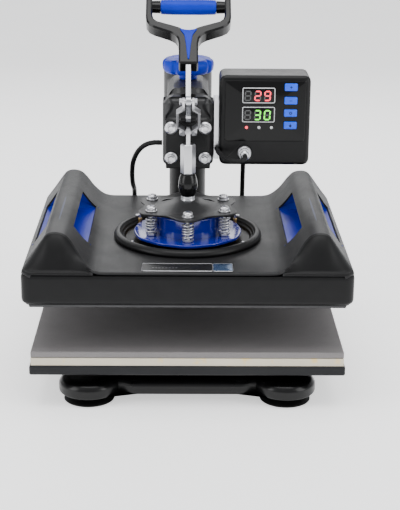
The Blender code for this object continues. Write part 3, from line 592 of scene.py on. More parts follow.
def makeSpeckled(name, body, speck, spots, scale, amount, rough, depth):
    # small voronoi cells stand out as specks, over a foam-like noise
    material, tree, shader = startMaterial(name)
    vector = objectVector(tree)
    texture = placeGroup(tree, grainTree, [("Vector", vector), ("Scale", scale), ("Unevenness", 0.12)])
    cells = addNode(tree, "ShaderNodeTexVoronoi", [("Vector", vector), ("Scale", scale * 0.55)])
    speckMask = addNode(
        tree, "ShaderNodeMapRange",
        [("Value", cells.outputs["Distance"]), ("From Min", amount), ("From Max", amount * 0.35)],
    )
    stains = addNode(tree, "ShaderNodeTexNoise", [("Vector", vector), ("Scale", 55.0), ("Detail", 3.0)])
    stainMask = addNode(
        tree, "ShaderNodeMapRange", [("Value", stains.outputs[0]), ("From Min", 0.60), ("From Max", 0.72)],
    )
    dark = tuple(value * 0.84 for value in body)
    base = mixColours(tree, texture.outputs["Tone"], rgba(dark), rgba(body))
    base = mixColours(tree, stainMask.outputs[0], base, rgba(spots))
    base = mixColours(tree, speckMask.outputs[0], base, rgba(speck))
    tree.links.new(base, shader.inputs["Base Color"])
    wiped = placeGroup(tree, sheenTree, [("Vector", vector), ("Low", rough - 0.05), ("High", rough + 0.05)])
    tree.links.new(wiped.outputs[0], shader.inputs["Roughness"])
    tree.links.new(bumpOf(tree, texture.outputs["Height"], depth, 0.0004), shader.inputs["Normal"])
    return material


looks["foamGrey"] = makeSpeckled(
    "foamGrey", (0.175, 0.165, 0.165), (0.09, 0.085, 0.085), (0.165, 0.156, 0.156), 1500.0, 0.30, 0.62, 0.5,
)
looks["fibreCream"] = makeSpeckled(
    "fibreCream", (0.66, 0.60, 0.47), (0.42, 0.34, 0.20), (0.72, 0.56, 0.25), 900.0, 0.16, 0.72, 0.6,
)


def makeBraid(name, colour, light, pitch):
    # two families of slanted threads on the sleeve's own map, one over the other by turns
    material, tree, shader = startMaterial(name)
    across = addNode(tree, "ShaderNodeUVMap", uv_map="surface").outputs[0]
    axes = addNode(tree, "ShaderNodeSeparateXYZ", [(0, across)])
    total = addNode(tree, "ShaderNodeMath", [(0, axes.outputs[0]), (1, axes.outputs[1])], operation="ADD")
    gap = addNode(
        tree, "ShaderNodeMath", [(0, axes.outputs[0]), (1, axes.outputs[1])], operation="SUBTRACT",
    )
    waves = []
    for slant in (total, gap):
        phase = addNode(
            tree, "ShaderNodeMath", [(0, slant.outputs[0]), (1, tau / pitch)], operation="MULTIPLY",
        )
        waves.append(addNode(tree, "ShaderNodeMath", [(0, phase.outputs[0])], operation="SINE"))
    weave = addNode(
        tree, "ShaderNodeMath", [(0, waves[0].outputs[0]), (1, waves[1].outputs[0])], operation="MULTIPLY",
    )
    height = addNode(
        tree, "ShaderNodeMapRange", [("Value", weave.outputs[0]), ("From Min", -1.0), ("From Max", 1.0)],
    )
    fluff = addNode(tree, "ShaderNodeTexNoise", [("Vector", objectVector(tree)), ("Scale", 2400.0)])
    mixed = addNode(
        tree, "ShaderNodeMix", [("Factor", 0.3), (2, height.outputs[0]), (3, fluff.outputs[0])],
        data_type="FLOAT",
    )
    tree.links.new(
        mixColours(tree, mixed.outputs[0], rgba(colour), rgba(light)), shader.inputs["Base Color"],
    )
    tree.links.new(bumpOf(tree, mixed.outputs[0], 0.8, 0.0007), shader.inputs["Normal"])
    wiped = placeGroup(tree, sheenTree, [("Vector", objectVector(tree)), ("Low", 0.42), ("High", 0.56)])
    tree.links.new(wiped.outputs[0], shader.inputs["Roughness"])
    shader.inputs["Specular IOR Level"].default_value = 0.15
    return material


looks["braidedSleeve"] = makeBraid("braidedSleeve", (0.0008, 0.0008, 0.0008), (0.020, 0.020, 0.021), 0.0034)
print("materials:", len(looks))

# ---- camera, light and floor ----

view = {"place": (-0.0066, -1.7009, 0.6952), "down": 18.33, "left": -0.793, "roll": -0.487, "lens": 94.4}


def makeCamera():
    yaw, pitch, roll = (radians(view[key]) for key in ("left", "down", "roll"))
    forward = Vector((-sin(yaw) * cos(pitch), cos(yaw) * cos(pitch), -sin(pitch)))
    right = Vector((cos(yaw), sin(yaw), 0))
    down = forward.cross(right)
    right, down = right * cos(roll) + down * sin(roll), down * cos(roll) - right * sin(roll)
    data = bpy.data.cameras.new("photographer")
    data.lens = view["lens"]
    camera = bpy.data.objects.new("photographer", data)
    turn = Matrix((right, -down, -forward)).transposed().to_4x4()
    camera.matrix_world = Matrix.Translation(view["place"]) @ turn
    bpy.context.scene.collection.objects.link(camera)
    bpy.context.scene.camera = camera


def makeLight(name, place, target, size, power, colour=(1, 1, 1)):
    data = bpy.data.lights.new(name, "AREA")
    data.shape = "RECTANGLE"
    data.size, data.size_y = size
    data.energy = power
    data.color = colour
    lamp = bpy.data.objects.new(name, data)
    lamp.location = place
    lamp.rotation_euler = (Vector(target) - Vector(place)).to_track_quat("-Z", "Y").to_euler()
    bpy.context.scene.collection.objects.link(lamp)


def makeStage():
    world = bpy.data.worlds.new("studio")
    world.use_nodes = True
    world.node_tree.nodes["Background"].inputs[0].default_value = (0.94, 0.95, 0.97, 1)
    world.node_tree.nodes["Background"].inputs[1].default_value = 0.85
    bpy.context.scene.world = world
    middle = (0, 0.02, 0.2)
    makeLight("topSoftbox", (0.0, -0.35, 1.9), middle, (1.6, 1.2), 26)
    makeLight("leftSoftbox", (-1.6, -0.9, 0.9), middle, (0.9, 1.3), 15)
    makeLight("rightSoftbox", (1.6, -0.9, 0.9), middle, (0.9, 1.3), 15)
    makeLight("backSoftbox", (0.0, 1.5, 1.1), middle, (1.8, 0.8), 12)
    corner = np.array([(-6, -6, 0), (6, -6, 0), (6, 6, 0), (-6, 6, 0)], float)
    mesh = bpy.data.meshes.new("floor")
    mesh.from_pydata(corner.tolist(), [], [(0, 1, 2, 3)])
    floor = bpy.data.objects.new("floor", mesh)
    bpy.context.scene.collection.objects.link(floor)
    material, tree, shader = startMaterial("paleFloor")
    cloud = addNode(tree, "ShaderNodeTexNoise", [("Vector", objectVector(tree)), ("Scale", 3.0)])
    pale = mixColours(tree, cloud.outputs[0], (0.90, 0.90, 0.90, 1), (0.94, 0.94, 0.94, 1))
    tree.links.new(pale, shader.inputs["Base Color"])
    tree.links.new(pale, shader.inputs["Emission Color"])
    shader.inputs["Emission Strength"].default_value = 0.9
    shader.inputs["Roughness"].default_value = 0.8
    mesh.materials.append(material)


makeCamera()
makeStage()
print("camera and stage")

# ---- cords ----

mains = {
    "radius": 0.0035,
    "route": [
        (0.0790, 0.1043, 0.2970), (0.0790, 0.118, 0.2965), (0.0790, 0.135, 0.2930), (0.0790, 0.155, 0.2840),
        (0.0790, 0.176, 0.2680), (0.0790, 0.194, 0.2460), (0.0790, 0.207, 0.2190), (0.0790, 0.215, 0.1880),
        (0.0790, 0.220, 0.1560), (0.0790, 0.226, 0.1240), (0.0790, 0.236, 0.0940), (0.0788, 0.251, 0.0650),
        (0.0782, 0.271, 0.0380), (0.0770, 0.295, 0.0170), (0.0745, 0.322, 0.0062), (0.0700, 0.350, 0.0040),
        (0.0600, 0.376, 0.0039), (0.0430, 0.392, 0.0039), (0.0200, 0.3985, 0.0039),
        (-0.0050, 0.3978, 0.0039),
    ],
    "turnRadii": (0.0432, 0.0357),
    "length": 1.8,
}
braided = {
    "sensor_lead": {"radius": 0.0030, "route": [
        (0.0717, -0.0004, 0.2836), (0.0715, -0.008, 0.2834), (0.068, -0.0130, 0.281),
        (0.060, -0.0115, 0.2795),
        (0.051, -0.006, 0.2800), (0.0437, 0.003, 0.2825), (0.0385, 0.012, 0.2855), (0.0375, 0.020, 0.2865),
        (0.0362, 0.0265, 0.287)]},
    "heater_lead": {"radius": 0.0033, "route": [
        (-0.0336, 0.052, 0.2880), (-0.046, 0.0530, 0.2875), (-0.057, 0.060, 0.2820),
        (-0.0665, 0.076, 0.2690),
        (-0.0730, 0.098, 0.2500), (-0.0755, 0.125, 0.2280), (-0.0760, 0.152, 0.2080),
        (-0.0755, 0.178, 0.1940),
        (-0.0755, 0.198, 0.1860), (-0.0755, 0.2080, 0.1740), (-0.0755, 0.2085, 0.1603)]},
}


def routeOf(points):
    return smoothPath([at(*point) for point in points], 0.005)


def coilTurns(centre, slots):
    # five turns: each strand eases from its slot of (radius, height) to the next, the last strand first
    samples, share = 48, 0.15
    pieces = []
    for turn in range(len(slots) - 1):
        part = np.arange(samples) / samples
        t = np.clip((part - 0.05 - 0.17 * (len(slots) - 2 - turn)) / share, 0, 1)
        ease = (t * t * (3 - 2 * t))[:, None]
        place = np.array(slots[turn]) * (1 - ease) + np.array(slots[turn + 1]) * ease
        angle = pi / 2 + tau * part
        x = centre[0] + place[:, 0] * np.cos(angle)
        y = centre[1] + place[:, 0] * np.sin(angle)
        pieces.append(np.stack([x, y, place[:, 1]], -1))
    return np.concatenate(pieces)


def lengthOf(path):
    return float(np.linalg.norm(np.diff(path, axis=0), axis=1).sum())


def makePlug():
    low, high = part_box("mains_plug")
    depth = (low.y + high.y) / 2 - shaftY
    level = (low.z + high.z) / 2
    body = slab(
        roundedLine([(-0.1120, depth - 0.012), (-0.0960, depth - 0.012), (-0.0735, depth - 0.0085),
        (-0.0735, depth + 0.0085),
                     (-0.0960, depth + 0.012), (-0.1120, depth + 0.012)], 0.0045),
        edgeRows(0.0004, 0.0204, 0.0042), upright)
    collar = np.linspace(-0.0745, -0.0535, 40)
    size = np.interp(collar, (-0.0745, -0.0535), (0.0062, 0.0042)) - 0.0006 * (np.arange(40) % 5 == 2)
    line = np.stack([size, collar], -1)
    relief = turned(line, at(0, depth, level), axis="X", steps=32)
    plug = makePiece(
        "plug_body", joined(body, relief), looks["blackRubber"], "root", ["mains_plug"],
    )
    blades = []
    for offset in (-0.0064, 0.0064):
        outline = roundedBox((-0.1280, -0.1110), (level - 0.0032, level + 0.0032), 0.0018, 5)
        blades.append(
            slab(outline, edgeRows(depth + offset - 0.0008, depth + offset + 0.0008, 0.0003, 3), facing)
        )
    return [plug, makePiece("plug_blades", joined(*blades), looks["zinc"], "root")]


def makeGland():
    # a tapering sleeve of soft rings behind a flanged nut
    low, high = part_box("mains_gland")
    centre = ((low.x + high.x) / 2, 0, (low.z + high.z) / 2)
    along = np.linspace(low.y, high.y, 90)
    part = (along - low.y) / (high.y - low.y)
    radius = np.interp(
        part, (0, 0.16, 0.17, 0.30, 0.31, 1), (0.0082, 0.0082, 0.0068, 0.0066, 0.0060, 0.0044),
    )
    radius = radius - 0.0007 * (np.sin(part * tau * 9) > 0.35) * (part > 0.34) * (part < 0.96)
    profile = np.concatenate([[(0.0037, low.y)], np.stack([radius, along], -1), [(0.0037, high.y)]])
    return makePiece(
        "cord_gland", turned(profile, centre, axis="Y", steps=40), looks["blackRubber"], "head",
        ["mains_gland"],
    )


def makeMains():
    radius = mains["radius"]
    low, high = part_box("mains_coil")
    centre = (low + high) / 2
    route = routeOf(mains["route"])
    outer, inner = mains["turnRadii"]
    levels = [route[-1, 2] + (2 * radius + 0.0002) * k for k in range(3)]
    slots = [
        (outer, levels[0]), (inner, levels[0]), (inner, levels[1]), (inner, levels[2]), (outer, levels[2]),
        (outer, levels[1]),
    ]
    coil = coilTurns(centre, slots)
    plugLow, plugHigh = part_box("mains_plug")
    tail = [coil[-1], (centre.x, centre.y + outer, levels[1]),
    (centre.x - 0.014, centre.y + outer, levels[1] - 0.0003),
            at(-0.0537, 0.397, (plugLow.z + plugHigh.z) / 2)]
    path = np.concatenate([route, coil, smoothPath(tail, 0.005)[1:]])
    print("mains lead", round(lengthOf(path), 4), "m, of which coiled", round(lengthOf(coil), 4))
    lead = makePiece("mains_lead", swept(path, radius, sides=14), looks["cordBlack"], None)
    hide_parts("mains_lead_upper", "mains_lead_lower", "mains_coil")
    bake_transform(lead)
    angle = radians(-35)
    out, side = np.array((cos(angle), sin(angle), 0)), np.array((0, 0, 1.0))
    middle = np.array((centre.x, centre.y, (levels[0] + levels[2]) / 2)) + out * (outer + inner) / 2
    reachOut, reachUp = (outer - inner) / 2 + radius + 0.0006, (levels[2] - levels[0]) / 2 + radius + 0.0003
    loop = roundedBox((-reachOut, reachOut), (-reachUp, reachUp), 0.0034, 7)
    width = np.array((-sin(angle), cos(angle), 0)) * 0.0030
    rows = [(0.0, -1.0), (0.0009, -1.0), (0.0009, 1.0), (0.0, 1.0)]
    size = np.array([reachOut, reachUp])
    grid = np.stack([middle + (loop[:, :1] * (1 - grow / size[0])) * out + (loop[:,
        1:] * (1 - grow / size[1])) * side + width * place
                     for grow, place in rows])
    tie = makePiece("coil_tie", shellOf(grid, wrapAlong=True), looks["blackRubber"], "root")
    plug = makePlug()
    gland = makeGland()


def makeBraided():
    for name, lead in braided.items():
        path = smoothPath([at(*point) for point in lead["route"]], 0.0015)
        ripple = lambda angle, station: 1 + 0.07 * np.sin(6 * angle + station * 0.9) * np.sin(
            6 * angle - station * 0.9
        )
        shell = swept(path, lead["radius"], sides=36, relief=ripple)
        piece = makePiece(
            f"{name}_sleeve", shell, looks["braidedSleeve"], None if name == "heater_lead" else "head",
            sharp=0,
        )
        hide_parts(name)
        if name == "heater_lead":
            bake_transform(piece)


makeMains()
makeBraided()
print("cords")

# ---- the platen's cover, ridges and housing ----

cover = {
    "line": [
        (0, 0.178), (0.060, 0.178), (0.098, 0.1781), (0.108, 0.1791), (0.118, 0.1832), (0.130, 0.1940),
        (0.141, 0.2085),
        (0.149, 0.2158), (0.159, 0.2180), (0.1675, 0.2162), (0.1735, 0.2103), (0.186, 0.1928),
            (0.1945, 0.1815),
            (0.1978, 0.1770),
        (0.1984, 0.1742),
    ],
    "spacing": 0.0026,
    "seam": (0.109, 0.143),  # the front seam runs back from the first side offset to the second
    "ridgeFront": -0.117,
    "front": -0.1475,
    "back": 0.1945,
    "cornerRadius": 0.012,
    "cornerFrom": 0.172,
    "wall": 0.0024,
    "window": (-0.060, 0.100, 0.1872, 0.2085),
    "ringHole": 0.0845,
}


def smoothStep(value, start, end):
    t = np.clip((value - start) / (end - start), 0, 1)
    return t * t * (3 - 2 * t)


def coverProfile():
    # half the cover's crosswise outline as side offsets and heights, with the window's edges among
    # its columns
    line = smoothPath([(x, 0, z) for x, z in cover["line"]], 0.0004)
    x, z = line[:, 0], line[:, 2]
    along = np.linspace(0, 1, len(x))
    wanted = np.linspace(0, 1, round(len(x) * 0.0004 / cover["spacing"]))
    peak = np.argmax(z)
    for level in cover["window"][2:]:
        rising = np.interp(level, z[:peak], along[:peak])
        falling = np.interp(-level, -z[peak:], along[peak:])
        for place in (rising, falling):
            wanted = wanted[np.abs(wanted - place) > 0.35 * (wanted[1] - wanted[0])]
            wanted = np.sort(np.append(wanted, place))
    return np.interp(wanted, along, x), np.interp(wanted, along, z)


def seamDepth(x):
    return cover["front"] + (cover["ridgeFront"] - cover["front"]) * smoothStep(np.abs(x), *cover["seam"])


def roundCorners(x, depth):
    # the outermost columns draw in where a plan corner is round
    radius, start = cover["cornerRadius"], cover["cornerFrom"]
    into = np.maximum(np.maximum(cover["front"] + radius - depth, depth - cover["back"] + radius), 0)
    limit = 0.1985 - (radius - np.sqrt(np.maximum(radius**2 - into**2, 0)))
    beyond = np.maximum(np.abs(x) - start, 0) / (0.1985 - start)
    return np.where(np.abs(x) > start, np.sign(x) * (start + beyond * (limit - start)), x)


def makeCover():
    half, height = coverProfile()
    x = np.concatenate([-half[:0:-1], half])
    top = np.concatenate([height[:0:-1], height])
    front = seamDepth(x)
    lip = 0.0026
    turn = np.linspace(0, pi / 2, 6)
    near, far = cover["window"][:2]
    rowsFront = [(front + lip * (1 - cos(a)), lip * (1 - sin(a))) for a in turn]
    mesh = [depth for depth, drop in rowsFront]
    drops = [np.full(len(x), drop) for depth, drop in rowsFront]
    for share in np.linspace(0, 1, 12)[1:]:
        start = front + lip
        mesh.append(start + (near - 0.030 - start) * share)
        drops.append(np.zeros(len(x)))
    behind = np.concatenate([np.linspace(near - 0.030, near, 8)[1:], np.linspace(near, far, 41)[1:],
                             np.linspace(far, cover["back"] - 0.014, 21)[1:]])
    for depth in behind:
        mesh.append(np.full(len(x), depth))
        drops.append(np.zeros(len(x)))
    for a in np.linspace(0, pi / 2, 10)[1:]:
        # the back of each ridge closes in a quarter ellipse, down to the flat skin
        mesh.append(np.full(len(x), cover["back"] - 0.014 + 0.014 * sin(a)))
        drops.append(np.maximum(top - 0.1765, 0) * (1 - cos(a)))
    depth, drop = np.array(mesh), np.array(drops)
    side = np.broadcast_to(x, depth.shape)
    z = top[None] - drop
    grid = np.stack([roundCorners(side, depth), depth + shaftY, z], -1)
    middleDepth = (depth[:-1, :-1] + depth[1:, 1:]) / 2
    middleX = (x[:-1] + x[1:]) / 2
    middleZ = (top[:-1] + top[1:]) / 2
    low, high = cover["window"][2:]
    window = (middleDepth > near) & (middleDepth < far) & (middleZ > low) & (middleZ < high)[None] & (
        np.abs(middleX) > 0.11
    )[
        None
    ]
    ring = np.hypot(middleX[None], middleDepth) < cover["ringHole"] + 0.0005
    shell = shellOf(grid, wrapRound=False, capped=False, holes=window | ring)
    piece = makePiece(
        "cover_skin", shell, looks["satinCover"], "platen", ["top_cover"], sharp=0,
    )
    thicken(piece, cover["wall"], 0.0005)
    for side in (-1, 1):
        makeCap(side)
    return piece


def thicken(piece, wall, edge=0.0):
    # a wall inside the surface, with its rims softened
    solid = piece.modifiers.new("wall", "SOLIDIFY")
    solid.thickness, solid.offset = wall, -1
    if edge:
        bevel = piece.modifiers.new("rim", "BEVEL")
        bevel.width, bevel.segments = edge, 2
        bevel.limit_method, bevel.angle_limit = "ANGLE", radians(50)
        bevel.harden_normals = True
    return piece


def makeCap(side):
    # the ridge's outline at the seam, falling to the front edge by a power of the distance left
    half, height = coverProfile()
    keep = half > cover["seam"][0] + 0.001
    x, top = half[keep] * side, height[keep]
    gap = 0.0007
    seam = seamDepth(x) - gap
    front = cover["front"]
    rows, tops = [], []
    lip = 0.0035
    for a in np.linspace(0, pi / 2, 6):
        rows.append(front + lip * (1 - cos(a)) + 0 * x)
        tops.append(np.minimum(0.1782, top) - lip * (1 - sin(a)))
    start = front + lip
    for share in np.linspace(0, 1, 22)[1:]:
        fall = 1 - (1 - share) ** 1.55
        rows.append(start + (np.maximum(seam - 0.0010, start) - start) * share)
        tops.append(np.minimum(0.1782, top) + (top - np.minimum(0.1782, top)) * fall)
    for a in np.linspace(0, pi / 2, 5)[1:]:
        rows.append(np.maximum(seam - 0.0010, start) + 0.0010 * sin(a))
        tops.append(top - 0.0014 * (1 - cos(a)))
    depth, z = np.array(rows), np.array(tops)
    grid = np.stack([roundCorners(np.broadcast_to(x, depth.shape), depth), depth + shaftY, z], -1)
    if side < 0:
        grid = grid[:, ::-1]
    name = "left" if side < 0 else "right"
    shell = shellOf(
        grid, wrapRound=False, capped=False, holes=np.zeros((len(grid) - 1, grid.shape[1] - 1), bool),
    )
    piece = makePiece(
        f"ridge_cap_{name}", shell, looks["satinHousing"], "platen",
        [f"ridge_end_cap_{name}"], sharp=0,
    )
    return thicken(piece, 0.0022, 0.0)


def makeHousing():
    low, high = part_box("platen_housing")
    front, back = low.y - shaftY, 0.195
    outline = roundedBox((low.x, high.x), (front, back), 0.0135, 12)
    rows = roundedLine(
        [
            (0.012, 0.1352), (0.0052, 0.1352), (0.0040, 0.1372), (0.0008, 0.1392), (0.0, 0.1425),
            (0.0, 0.1702), (0.0012, 0.1736), (0.0052, 0.1738),
        ],
        0.0016, closed=False, steps=4)
    wallRows = np.concatenate([rows, [(0.0062, 0.1738), (0.0062, 0.1352)]])
    shell = slab(outline, wallRows, upright)
    points, quads, _, uv, _ = shell
    columns = len(outline)
    # the band stays open above and below: its last row joins its first
    count = len(wallRows) * columns
    k = np.arange(columns)
    closing = np.stack(
        [
            (len(wallRows) - 1) * columns + k, (len(wallRows) - 1) * columns + (k + 1) % columns,
            (k + 1) % columns, k,
        ],
        -1,
    )
    quads = np.concatenate(
        [quads, closing if (quads[0, 1] - quads[0, 0]) % columns == 1 else closing[:, ::-1]]
    )
    uv = np.concatenate([uv, np.zeros((columns, 4, 2))])
    band = outward((points[:count], quads, np.zeros((0, 3), int), uv, np.zeros((0, 3, 2))))
    gland = slab(
        roundedBox((-0.0835, -0.0675), (0.144, 0.160), 0.003, 5), edgeRows(0.192, 0.2155, 0.0015), facing,
    )
    makePiece(
        "housing_band", joined(band, gland), looks["satinHousing"], "platen",
        ["platen_housing"],
    )


def makeWell():
    # the stepped black ring, and the scalloped blue disc with its drum
    ring = roundedLine(
        [(0.0940, 0.1786), (0.0948, 0.1815), (0.0925, 0.1852), (0.0885, 0.1872), (0.0862, 0.1868),
        (0.0852, 0.1846),
         (0.0838, 0.1842), (0.0832, 0.1812), (0.0806, 0.1806), (0.0800, 0.1768), (0.0480, 0.1766),
         (0.0480, 0.1740), (0.0835, 0.1738), (0.0838, 0.1786)],
        0.0014, steps=4)
    makePiece(
        "well_ring", turned(ring, at(0, 0, 0), steps=144, ring=True), looks["satinTrim"], "platen",
        ["ring_bezel"],
    )
    scallop = lambda angle: 1 + 0.016 * (
        np.cos(6 * (angle + pi / 2)) * 0.6 + 0.4 * np.cos(12 * (angle + pi / 2))
    )
    edge = roundedLine(
        [(0.040, 0.1828), (0.0690, 0.1828), (0.0690, 0.1868), (0.0440, 0.1868)], 0.0014, closed=False,
        steps=5,
    )
    disc = turned(edge, at(0, 0, 0), steps=180, radiusOf=scallop)
    drum = roundedLine(
        [(0.0425, 0.1478), (0.0425, 0.1860), (0.0425, 0.2105), (0.0400, 0.2120), (0.0120, 0.2120)], 0.0012,
        closed=False, steps=5,
    )
    barrel = turned(drum, at(0, 0, 0), steps=144)
    makePiece(
        "pressure_disc", joined(disc, barrel), looks["blueEnamel"], "platen", ["spring_disc"],
    )


dome = {
    "edge": 0.0620, "lobe": 0.0068, "rim": 0.2186, "top": 0.2268, "wall": 0.0028,
    "slot": (0.0225, 0.0365, 0.17, 0.31),
}


def makeDome():
    # heights fall from the hub to the rim as a cosine of the radius; the edge radius has six waves
    angle = np.linspace(0, tau, 240, endpoint=False)
    edge = dome["edge"] + dome["lobe"] * np.cos(6 * (angle + pi / 2))
    share = np.concatenate(
        [
            np.linspace(0.079, 0.30, 8), np.linspace(0.30, 0.62, 15)[1:], np.linspace(0.62, 0.975, 16)[1:],
            [1.0],
        ]
    )
    inner = 0.0500
    radius = np.where(
        share[:, None] < 0.72, share[:, None] / 0.72 * inner,
        inner + (share[:, None] - 0.72) / 0.28 * (edge[None] - inner),
    )
    bump = 0.5 + 0.5 * np.cos(pi * np.clip((radius - 0.006) / 0.042, 0, 1))
    z = dome["rim"] + (dome["top"] - dome["rim"]) * bump
    z[-1] -= 0.0006
    grid = np.stack([radius * np.cos(angle), radius * np.sin(angle) + shaftY, z], -1)
    near, far, first, last = dome["slot"]
    middleR = (radius[:-1] + radius[1:]) / 2
    spread = np.abs(np.sin(angle + pi / len(angle)))
    behind = (np.sin(angle) > 0) & (spread > sin(first * 2)) & (spread < sin(last * 2.3))
    hole = (middleR > near) & (middleR < far) & behind[None]
    shell = shellOf(grid, capped=False, holes=hole)
    shell = (shell[0], shell[1][:, ::-1], shell[2], shell[3][:, ::-1], shell[4])
    piece = makePiece(
        "lobed_plate", shell, looks["domeCharcoal"], "platen", ["dome_plate"], sharp=0,
    )
    facesUp(piece)
    thicken(piece, dome["wall"], 0.0004)


def facesUp(piece):
    # turns the whole sheet over if its first face looks down
    mesh = piece.data
    if mesh.polygons[0].normal.z < 0:
        mesh.flip_normals()


spring = {"mean": 0.0066, "wire": 0.0011, "turns": 5.5, "circle": 0.053, "low": 0.1884, "high": 0.2142}


def makeSprings():
    # a helix whose pitch closes at both ends, round a bolt with a washer and a pan head whose cross slot is a
    # dark cross painted on as shade
    for k in range(6):
        angle = tau * k / 6 - pi / 2
        centre = at(spring["circle"] * cos(angle), spring["circle"] * sin(angle), 0)
        t = np.linspace(0, 1, round(spring["turns"] * 28))
        rise = t + 0.045 * np.sin(tau * t)
        rise = (rise - rise[0]) / (rise[-1] - rise[0])
        turn = tau * spring["turns"] * t
        wire = spring["wire"]
        path = np.stack([
            centre[0] + spring["mean"] * np.cos(turn), centre[1] + spring["mean"] * np.sin(turn),
            spring["low"] + wire + (spring["high"] - spring["low"] - 2 * wire) * rise], -1)
        coil = swept(path, wire, sides=10)
        stem = turned(roundedLine([(0.0026, 0.1868), (0.0026, 0.2190)], 0, closed=False), centre, steps=20)
        washer = turned(
            roundedLine([(0.0030, 0.2190), (0.0074, 0.2190), (0.0074, 0.2201), (0.0030, 0.2201)], 0.0003),
            centre, steps=40, ring=True,
        )
        head = turned(
            roundedLine(
                [(0.0060, 0.2202), (0.0062, 0.2236), (0.0050, 0.2252), (0.0030, 0.2257)], 0.0008,
                closed=False, steps=4,
            ),
            centre, steps=36,
        )
        nut = turned(
            roundedLine([(0.0060, 0.1872), (0.0068, 0.1875), (0.0068, 0.1906), (0.0060, 0.1909)], 0.0003),
            centre, steps=6, ring=False,
        )
        makePiece(
            f"spring_bolt_{k + 1}", joined(coil, stem, washer, head, nut), looks["zinc"], "platen",
            [f"spring_{k + 1}"],
        )
        cross = []
        for turnBy in (0.4 + k, 0.4 + k + pi / 2):
            out = np.array((cos(turnBy), sin(turnBy))) * 0.0030
            wide = np.array((-sin(turnBy), cos(turnBy))) * 0.00055
            corners = [centre[:2] + a * out + b * wide for a, b in ((-1, -1), (1, -1), (1, 1), (-1, 1))]
            outline = [(x, y - shaftY) for x, y in corners]
            cross.append(slab(outline, [(0, 0.2252), (0, 0.22585)], upright))
        # painted shade: a dark cross on each head where its slot would be
        makePiece(f"bolt_slot_shade_{k + 1}", joined(*cross), looks["darkPrintAndShade"], "platen")


def makeShaft():
    # six-sided coupling with turned ends, stud, nut, flat tang, black bell and knurled ferrule
    centre = at(0, 0, 0)
    hexRows = roundedLine(
        [(0.0070, 0.2606), (0.0083, 0.2616), (0.0083, 0.2976), (0.0070, 0.2990)], 0.0004, closed=False,
        steps=3,
    )
    coupling = turned(hexRows, centre, steps=72, radiusOf=hexagon)
    stud = turned([(0.0072, 0.2226), (0.0072, 0.2330), (0.0072, 0.2606)], centre, steps=48)
    nut = turned(roundedLine(
        [(0.0100, 0.2140), (0.0112, 0.2148), (0.0112, 0.2216), (0.0100, 0.2225)], 0.0004, closed=False,
        steps=3,
    ),
                 centre, steps=72, radiusOf=hexagon)
    ferrule = turned(roundedLine(
        [
            (0.0078, 0.2226), (0.0094, 0.2230), (0.0096, 0.2252), (0.0086, 0.2290), (0.0084, 0.2318),
            (0.0074, 0.2320),
        ],
        0.0006, closed=False, steps=4,
    ),
                     centre, steps=64)
    tang = slab(roundedLine(
        [
            (-0.0065, 0.2975), (0.0065, 0.2975), (0.0065, 0.3140), (0.0052, 0.3196), (0, 0.3212),
            (-0.0052, 0.3196), (-0.0065, 0.3140),
        ],
        0.002, steps=4,
    ),
                edgeRows(-0.0025, 0.0025, 0.0004, 3), lambda depth, z, x: np.stack(
                    [x, depth + shaftY, z], -1,
                ))
    pin = turned(
        roundedLine([(0.0030, -0.0040), (0.0030, 0.0040)], 0, closed=False), at(0, 0, 0.314), axis="X",
        steps=28,
    )
    makePiece(
        "press_stud", joined(coupling, stud, nut, tang, pin), looks["zinc"], "platen",
        ["press_shaft"],
    )
    makePiece("shaft_ferrule", ferrule, looks["machinedSteel"], "platen")
    bell = roundedLine(
        [
            (0.0080, 0.2322), (0.0090, 0.2322), (0.0110, 0.2370), (0.0122, 0.2430), (0.0121, 0.2490),
            (0.0108, 0.2556), (0.0090, 0.2602), (0.0078, 0.2604),
        ],
        0.0018, closed=False, steps=6)
    bell = np.concatenate([bell, [(0.0075, 0.2604), (0.0075, 0.2322)]])
    makePiece(
        "shaft_bell", turned(bell, centre, steps=72, ring=True), looks["glossBlack"], "platen",
        ["shaft_cap"],
    )


makeCover()
makeHousing()
makeWell()
makeDome()
makeSprings()
makeShaft()
print("platen")

# ---- what lies on the platen ----


def makeLiners():
    # a blue trough under each ridge: a dished floor between the two windows, and an end wall at each end
    half, height = coverProfile()
    near, far, low, _ = cover["window"]
    peak = np.argmax(height)
    inner = np.interp(low - 0.0016, height[:peak], half[:peak])
    outer = np.interp(-(low - 0.0016), -height[peak:], half[peak:])
    for side, name in ((-1, "left"), (1, "right")):
        across = np.linspace(0, 1, 30)
        x = inner + (outer - inner) * across
        z = low - 0.0016 - 0.0022 * np.sin(pi * across) ** 0.8
        depth = np.linspace(near - 0.004, far + 0.004, 24)
        ends = np.clip(1 - np.minimum(depth - depth[0], depth[-1] - depth) / 0.010, 0, 1) ** 2 * 0.003
        level = z[None] + ends[:, None] * np.sin(pi * across)[None]
        top = np.stack(
            [
                np.broadcast_to(x * side, level.shape),
                np.broadcast_to(depth[:, None] + shaftY, level.shape), level,
            ],
            -1,
        )
        under = top[:, ::-1] - np.array((0, 0, 0.0016))
        floor = shellOf(np.concatenate([top, under], axis=1))
        xs = np.linspace(inner - 0.001, outer + 0.001, 40)
        roof = np.interp(xs, half, height) - cover["wall"] - 0.0004
        line = [(a, b) for a, b in zip(xs, np.maximum(roof, low - 0.0018))]
        outline = np.array([(xs[0], low - 0.0042), *line, (xs[-1], low - 0.0042)]) * (side, 1)
        walls = [
            slab(outline, [(0, first), (0, first + 0.0022)], facing) for first in (
                near - 0.0026, far + 0.0004,
            )
        ]
        makePiece(
            f"window_trough_{name}", joined(floor, *walls), looks["blueLiner"], "platen",
            [f"window_liner_{name}"], sharp=45,
        )


